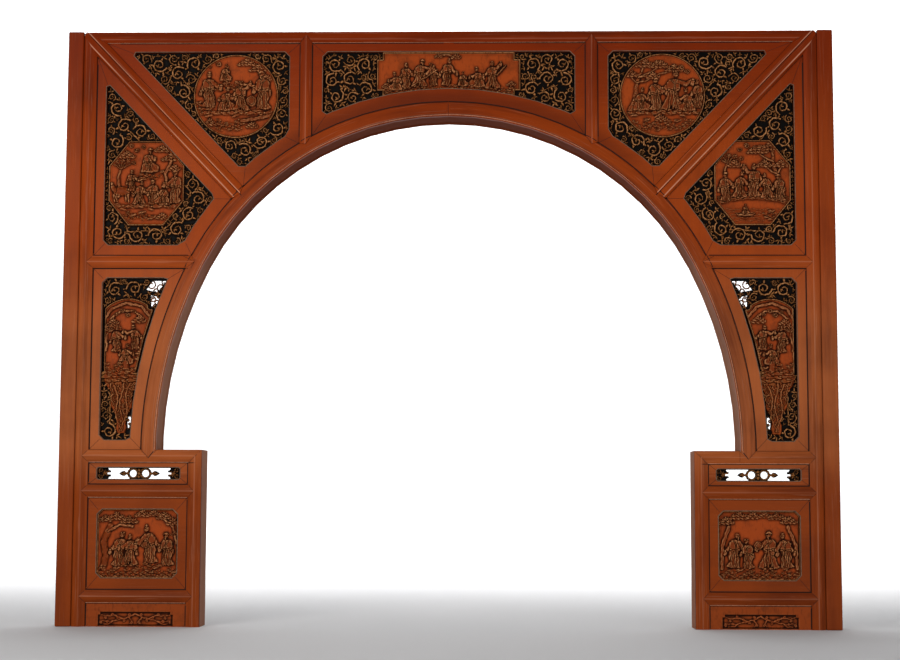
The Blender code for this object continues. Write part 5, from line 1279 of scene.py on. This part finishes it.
def frontAt():
    # the depth of the frontmost CAD surface at a place
    verts, faces = [], []
    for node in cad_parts.values():
        first = len(verts)
        verts += [tuple(v.co) for v in node.data.vertices]
        faces += [[first + i for i in p.vertices] for p in node.data.polygons]
    tree = BVHTree.FromPolygons(verts, faces)

    def depth(x, z, fallback):
        spot = tree.ray_cast((x, -1.0, z), (0.0, 1.0, 0.0))[0]
        return spot.y if spot is not None and spot.y < 0.05 else fallback
    return depth


def seamPiece(name, lines, depth, material, width=seams["width"]):
    # thin dark strips that follow the front along lines, a little proud of it
    verts, faces = [], []
    half, lift = width / 2, seams["lift"]
    for line in lines:
        spots = []
        for (x1, z1), (x2, z2) in zip(line, line[1:]):
            count = max(1, int(math.hypot(x2 - x1, z2 - z1) / seams["step"]))
            spots += [(x1 + (x2 - x1) * i / count, z1 + (z2 - z1) * i / count) for i in range(count)]
        spots.append(line[-1])
        y = archway["fieldY"]
        for index, (x, z) in enumerate(spots):
            before, after = Vector(spots[max(index - 1, 0)]), Vector(spots[min(index + 1, len(spots) - 1)])
            run = (after - before).normalized()
            first = len(verts)
            for hand in (-1, 1):
                a, b = x - run.y * half * hand, z + run.x * half * hand
                y = depth(a, b, y)
                shown = max(y - lift, archway["frontY"] + seams["least"])
                verts += [(a, shown, b), (a, y + seams["sunk"], b)]
            if index:
                faces += [(first - 4, first - 2, first + 2, first), (first - 4, first, first + 1, first - 3),
                          (first - 2, first - 1, first + 3, first + 2),
                          (first - 3, first + 1, first + 3, first - 1)]
            if index in (0, len(spots) - 1):
                faces.append((first, first + 1, first + 3, first + 2))
    mesh = bpy.data.meshes.new(name)
    mesh.from_pydata(verts, [], faces)
    addPiece(name, mesh, material, "frame_wood")


def mitreLines(node):
    # from each corner of a flat frame's opening to the frame's own corner
    outer, inner = outlineLoops(node, archway["fieldY"])[:2]
    middles = np.vstack([inner, (inner + np.roll(inner, -1, axis=0)) / 2])
    lines = []
    for before, here, after in zip(np.roll(outer, 1, axis=0), outer, np.roll(outer, -1, axis=0)):
        a, b = here - before, after - here
        turn = abs(math.atan2(a[0] * b[1] - a[1] * b[0], a @ b))
        if turn > 0.35:
            near = middles[np.argmin(np.hypot(*(middles - here).T))]
            lines.append([tuple(near), tuple(here)])
    return lines


def memberSeams(word, side):
    # the pointed ends of the rails and muntins, and the joints of the diagonal and the pedestal
    reach = seams["arrow"]
    lines = []
    for name, ends in (("base_rail", (0, 1)), ("middle_rail", (0, 1)), ("upper_rail", (0, 1)),
                       ("pedestal_rail", (1,))):
        low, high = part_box(name + "_" + word)
        near, far = sorted((abs(low.x), abs(high.x)))
        middle = (low.z + high.z) / 2
        for end in ends:
            tip, foot = (far, far - reach) if end else (near, near + reach)
            slant = 0.026 if name == "upper_rail" and not end else 0.0
            lines.append([(side * (foot - slant * 0.5), low.z), (side * tip, middle),
                          (side * (foot + slant), high.z)])
    low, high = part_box("muntin_" + word)
    middle = (low.x + high.x) / 2
    top, foot = high.z - seams["muntinHead"], low.z + seams["muntinFoot"]
    slope = side * (high.x - low.x) * 0.28
    lines.append([(low.x, top), (middle, high.z), (high.x, top)])
    lines.append([(low.x, foot + slope), (middle, low.z), (high.x, foot - slope)])
    low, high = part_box("pedestal_rail_" + word)
    inner = min(abs(low.x), abs(high.x))
    lines.append([(side * inner, high.z), (side * (inner + high.z - low.z), low.z)])
    return lines


def ringLine(side, away):
    # a line along the arch, at a distance out from its edge
    footZ, offset = archway["footZ"], archway["haunchOffset"]
    drop = archway["crownZ"] - footZ
    low = math.atan2(drop, offset)
    haunch = archway["crownRadius"] + math.hypot(offset, drop) + away
    crown = archway["crownRadius"] + away
    line = [(side * (haunch * math.cos(t) - offset), footZ + haunch * math.sin(t))
            for t in np.linspace(0, low, 24)]
    return line + [(side * crown * math.cos(t), archway["crownZ"] + crown * math.sin(t))
                   for t in np.linspace(low, math.pi / 2 - 0.001, 48)[1:]]


def memberGaps(word, side):
    # the dark lines under the rails, beside the stile and the muntin, and round the ring
    beside = seams["beside"]
    foot = ringLine(side, archway["ringWidth"] + beside)
    tip = (foot[0][0] - side * archway["ringWidth"] * 0.55, archway["footZ"] - seams["vFoot"])
    inner = (ringLine(side, beside)[0][0], archway["footZ"])
    lines = [[inner, tip] + foot]
    for name in ("base_rail", "middle_rail", "upper_rail", "pedestal_rail"):
        low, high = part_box(name + "_" + word)
        inset = seams["arrow"]
        for z in (low.z - beside, high.z + beside):
            if name != "pedestal_rail" or z < high.z:
                lines.append([(low.x + inset, z), (high.x - inset, z)])
    spans, start = [], seams["floorGap"]
    for name in ("base_rail", "middle_rail", "pedestal_rail", "upper_rail"):
        low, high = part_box(name + "_" + word)
        spans.append((start, low.z))
        start = high.z
    spans.append((start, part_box("octagon_frame_" + word)[1].z - seams["octagonInset"]))
    stile = min(abs(corner.x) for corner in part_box("stile_" + word)) - beside
    pedestal = max(abs(corner.x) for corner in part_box("pedestal_stile_" + word)) + beside
    lines += [[(side * stile, a), (side * stile, b)] for a, b in spans]
    lines += [[(side * pedestal, a), (side * pedestal, b)] for a, b in spans[:3]]
    low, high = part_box("muntin_" + word)
    footInset, headInset = seams["muntinInset"]
    for x in (low.x - beside, high.x + beside):
        lines.append([(x, low.z + footInset), (x, high.z - headInset)])
    angle = math.radians(archway["jointDegrees"])
    start = Vector((archway["jointX"], archway["jointZ"]))
    along = Vector((-math.cos(angle), -math.sin(angle))) * archway["jointLength"]
    spots = [start + along * share for share in (0.02, 0.5, 1.0)]
    lines.append([(side * spot.x, spot.y) for spot in spots])
    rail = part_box("top_rail")[0].z - beside
    near, far = sorted((abs(low.x), abs(high.x)))
    lines.append([(side * seams["topInset"], rail), (side * (near - beside), rail)])
    lines.append([(side * (far + beside), rail), (side * seams["topStop"], rail)])
    return lines


def edgeBeads(name, spans, material):
    # thin round beads along the lower edges of rails, which carry the pale painted highlight there; spans
    # are left, right and height
    y = archway["fieldY"] - beads["edgeProud"]
    barPiece(name, [tube([(x, y, z) for x in np.linspace(left, right, 24)], beads["edgeRadius"])
                    for left, right, z in spans], material)


def arrisBead(name, line, depth, material):
    # a fine round bead along the inner arris of the ring, which carries a pale painted highlight there
    y = archway["fieldY"]
    spots = []
    for x, z in line:
        y = depth(x, z, y)
        spots.append((x, max(y, archway["frontY"] + beads["arrisRadius"]), z))
    barPiece(name, [tube(spots, beads["arrisRadius"])], material)


# Carved boards of one side

def roundelBoard(word, side, material):
    board = Relief("roundel_panel_" + word)
    x, z, radius = roundel["x"] * side, roundel["z"], roundel["radius"]
    scrollwork(board, lambda a, b: np.hypot(a - x, b - z) - radius)
    inside = radius - np.hypot(board.x - x, board.z - z)
    carveInside(board, inside, "both", lambda: carveScene(board, "roundel_" + word, x, z, radius))
    reliefPiece(board, "carved_roundel_" + word, material, "carved_wood")


def octagonBoard(word, side, material):
    board = Relief("octagon_panel_" + word)
    x, z, unit = octagon["x"] * side, octagon["z"], octagon["width"] / 2
    outline = octagonOutline(x)
    scrollwork(board, lambda a, b: -insideDistance(a, b, outline))
    inside = insideDistance(board.x, board.z, outline)
    carveInside(board, inside, "both", lambda: carveScene(board, "octagon_" + word, x, z, unit))
    reliefPiece(board, "carved_octagon_" + word, material, "carved_wood")


def narrowBoard(word, side, material, stemMaterial):
    board = Relief("narrow_panel_" + word)
    x, z, unit = narrow["x"] * side, narrow["z"], narrow["unit"]
    springing = z + narrow["archLift"]
    inside = np.minimum(board.window - narrow["inset"], board.z - narrow["floor"])
    arch = narrow["round"] - np.hypot(board.x - x, board.z - springing)
    inside = np.where(board.z > springing, np.minimum(inside, arch), inside)
    scrollwork(board, lambda a, b: narrowAway(a, b, side))
    carveInside(board, inside, "most", lambda: carveScene(board, "narrow", x, z, unit, side))
    narrowWater(board, side)
    reliefPiece(board, "carved_narrow_" + word, material, "carved_wood")
    holeScrolls("hole_scrolls_" + word, board, stemMaterial)


def figureBoard(word, material):
    board = Relief("figure_panel_" + word)
    x, z = (board.low + board.high) / 2
    unit = (board.high[0] - board.low[0]) / 2 - reliefs["lap"]
    carveInside(board, board.window, "outer",
                lambda: carveScene(board, "figure_" + word, x, z, unit))
    reliefPiece(board, "carved_figures_" + word, material, "carved_wood")


def fretBoard(word, material):
    board = Relief("fret_panel_" + word)
    fretCarving(board)
    reliefPiece(board, "carved_fret_" + word, material, "carved_wood")


def crownBoard(word, material):
    front = archway["fieldY"]
    board = Relief("branch_board_" + word, front + branchBoard["sink"], front)
    branchCarving(board, board.loops[0].mean(0)[0])
    reliefPiece(board, "carved_branches_" + word, material, "frame_wood", branchBoard["contrast"])


def centreBoard(material):
    board = Relief("centre_panel")
    outline = cartoucheOutline()
    scrollwork(board, lambda a, b: -insideDistance(a, b, outline))
    inside = np.minimum(insideDistance(board.x, board.z, outline), board.window)
    carveInside(board, inside, "outer", lambda: centreScene(board))
    reliefPiece(board, "carved_centre", material, "carved_wood")


# Seams and beads of one side

def sideSeams(word, side, depth, material):
    lines = memberSeams(word, side) + [ringLine(side, seams["darkAway"])]
    for name in ("roundel", "octagon", "narrow", "figure", "fret"):
        lines += mitreLines(name + "_frame_" + word)
    if word == "right":  # a crack across the rail over the pedestal
        low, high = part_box("pedestal_rail_right")
        count = seams["crackSteps"]
        lines.append([(seams["crackX"] + seams["crackSway"] * (i % 2), low.z + (high.z - low.z) * i / count)
                      for i in range(count + 1)])
    seamPiece("seams_" + word, lines, depth, material)
    seamPiece("gaps_" + word, memberGaps(word, side), depth, material, seams["gap"])


def sideBeads(word, side, depth, material):
    spans = []
    for name in ("base_rail", "middle_rail", "pedestal_rail"):
        low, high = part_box(name + "_" + word)
        near, far = sorted((abs(low.x), abs(high.x)))
        inset = seams["arrow"] * 1.05
        start = near + (high.z - low.z if name == "pedestal_rail" else inset)
        spans.append((side * start, side * (far - inset), low.z + beads["edgeLift"]))
    edgeBeads("edge_beads_" + word, spans, material)
    arrisBead("arris_bead_" + word, ringLine(side, beads["arrisAway"]), depth, material)


def topBeads(material):
    # two beads under the top rail, broken by the muntins
    low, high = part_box("top_rail")
    near, far = sorted(abs(corner.x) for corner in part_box("muntin_right"))
    clear, spans = beads["topClear"], []
    for lift in (beads["edgeLift"], beads["edgeLift"] + beads["topGap"]):
        spans.append((clear - near, near - clear, low.z + lift))
        spans += [(side * (far + clear), side * (high.x - beads["topStop"]), low.z + lift)
                  for side in (-1, 1)]
    edgeBeads("edge_beads_top", spans, material)


# Build

print("materials")
upright = lacquerMaterial("lacquer_upright", "upright", shine=0.3)
level = lacquerMaterial("lacquer_level", "level", shine=0.25)
# a darker copy of the level lacquer: painted shade on the base and middle rails
shadedRail = lacquerMaterial("lacquer_shaded_rail", "level", 0.18, shine=0.25)
slant = lacquerMaterial("lacquer_slant", "slant")
arc = lacquerMaterial("lacquer_arc", "arc", 0.10, shine=0.3)
frameWood = lacquerMaterial("lacquer_frame", "frame", streak=0.30)
uprightFrame = lacquerMaterial("lacquer_frame_upright", "upright_frame", streak=0.30)
postWood = lacquerMaterial("lacquer_post", "upright", 0.08, False, 0.55)
carvedWood = carvedMaterial("carved_wood_visual")
boardWood = carvedMaterial("board_wood_visual", "8A3C14", "7A3210", 0.5)
strandWood = plainMaterial("strand", carvedLook["gold"], 0.5, 0.45, 120.0)
beadWood = plainMaterial("bead", beads["colour"], 0.5)
# pale beads that paint the highlight along the rails' lower edges and the ring's arris
glintBeadWood = plainMaterial("glint_bead", beads["edge"], 0.4)
seamDark = plainMaterial("seam", seams["colour"], 0.7)

runs = {
    "outer_post": postWood, "stile": upright, "pedestal_stile": upright, "muntin": upright,
    "base_rail": shadedRail, "middle_rail": shadedRail, "ring": arc, "diagonal": slant,
    "roundel_frame": frameWood, "centre_frame": frameWood, "figure_frame": frameWood,
    "narrow_frame": uprightFrame, "octagon_frame": uprightFrame}
for name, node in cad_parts.items():
    chosen = next((m for start, m in runs.items() if name.startswith(start)), level)
    node.data.materials.clear()
    node.data.materials.append(chosen)

print("carved boards")
for word, side in sides:
    roundelBoard(word, side, carvedWood)
    octagonBoard(word, side, carvedWood)
    narrowBoard(word, side, carvedWood, strandWood)
    figureBoard(word, carvedWood)
    fretBoard(word, carvedWood)
    crownBoard(word, boardWood)
centreBoard(carvedWood)

print("beads and seams")
for name in sorted(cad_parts):
    if name.endswith("_frame") or "_frame_" in name:
        openingBead("bead_" + name, name, beadWood)
depthAt = frontAt()
for word, side in sides:
    sideSeams(word, side, depthAt, seamDark)
    sideBeads(word, side, depthAt, glintBeadWood)
topBeads(glintBeadWood)
crownJoint = [(0.0, seams["crownLow"]), (0.0, seams["crownHigh"])]
seamPiece("seams_centre", mitreLines("centre_frame") + [crownJoint], depthAt, seamDark)


# Studio

studio = {
    "floor": "D0D0D1", "halfWidth": 15.0, "world": "F4F5F7", "worldStrength": 0.30,
    # depth and height of the floor, which curves up into a wall at the back
    "profile": ((-11.0, 0.0), (7.6, 0.0), (8.6, 0.12), (9.4, 0.5), (9.9, 1.2), (10.1, 2.2), (10.1, 10.0)),
    # place, aim, width and height, power and colour of each light
    "lights": {
        "key": ((-2.9, -5.4, 2.3), (0.0, 0.0, 1.1), (2.4, 2.0), 175.0, (1.0, 0.98, 0.95)),
        "fill": ((3.4, -5.2, 1.2), (0.2, 0.0, 1.2), (2.6, 2.2), 88.0, (1.0, 0.99, 0.98)),
        "back_wall": ((0.0, 5.6, 6.4), (0.0, 9.6, 1.4), (12.0, 3.0), 1350.0, (1.0, 1.0, 1.0))}}
camera = {
    "place": (0.185, -7.2247, 0.4712), "yaw": 0.0245, "pitch": 0.0986, "roll": 0.0033,
    "lens": 72.0, "sensor": 36.0, "farthest": 60.0}


def floorSweep():
    mesh = bpy.data.meshes.new("floor")
    profile, half = studio["profile"], studio["halfWidth"]
    verts = [(x, y, z) for y, z in profile for x in (-half, half)]
    mesh.from_pydata(verts, [], [(i, i + 1, i + 3, i + 2) for i in range(0, len(verts) - 2, 2)])
    mesh.shade_smooth()
    mesh.materials.append(plainMaterial("floor_paint", studio["floor"], 0.8, 0.004, 6.0))
    newObject("floor", mesh)


def areaLight(name, place, aim, size, power, colour):
    light = bpy.data.lights.new(name, "AREA")
    light.shape = "RECTANGLE"
    light.size, light.size_y = size
    light.energy = power
    light.color = colour
    thing = newObject(name, light)
    thing.location = place
    thing.rotation_euler = (Vector(aim) - Vector(place)).to_track_quat("-Z", "Y").to_euler()


def photoCamera():
    look = bpy.data.cameras.new("camera")
    look.lens = camera["lens"]
    look.sensor_width = camera["sensor"]
    look.clip_end = camera["farthest"]
    eye = newObject("camera", look)
    turn = (Matrix.Rotation(camera["yaw"], 4, "Z") @ Matrix.Rotation(math.pi / 2 + camera["pitch"], 4, "X")
            @ Matrix.Rotation(camera["roll"], 4, "Z"))
    eye.matrix_world = Matrix.Translation(camera["place"]) @ turn
    bpy.context.scene.camera = eye


print("studio")
floorSweep()
for name, values in studio["lights"].items():
    areaLight(name, *values)
world = bpy.data.worlds.new("studio")
bpy.context.scene.world = world
world.use_nodes = True
background = world.node_tree.nodes["Background"]
background.inputs["Color"].default_value = colourOf(studio["world"])
background.inputs["Strength"].default_value = studio["worldStrength"]
photoCamera()
bpy.context.scene.view_settings.view_transform = "Standard"
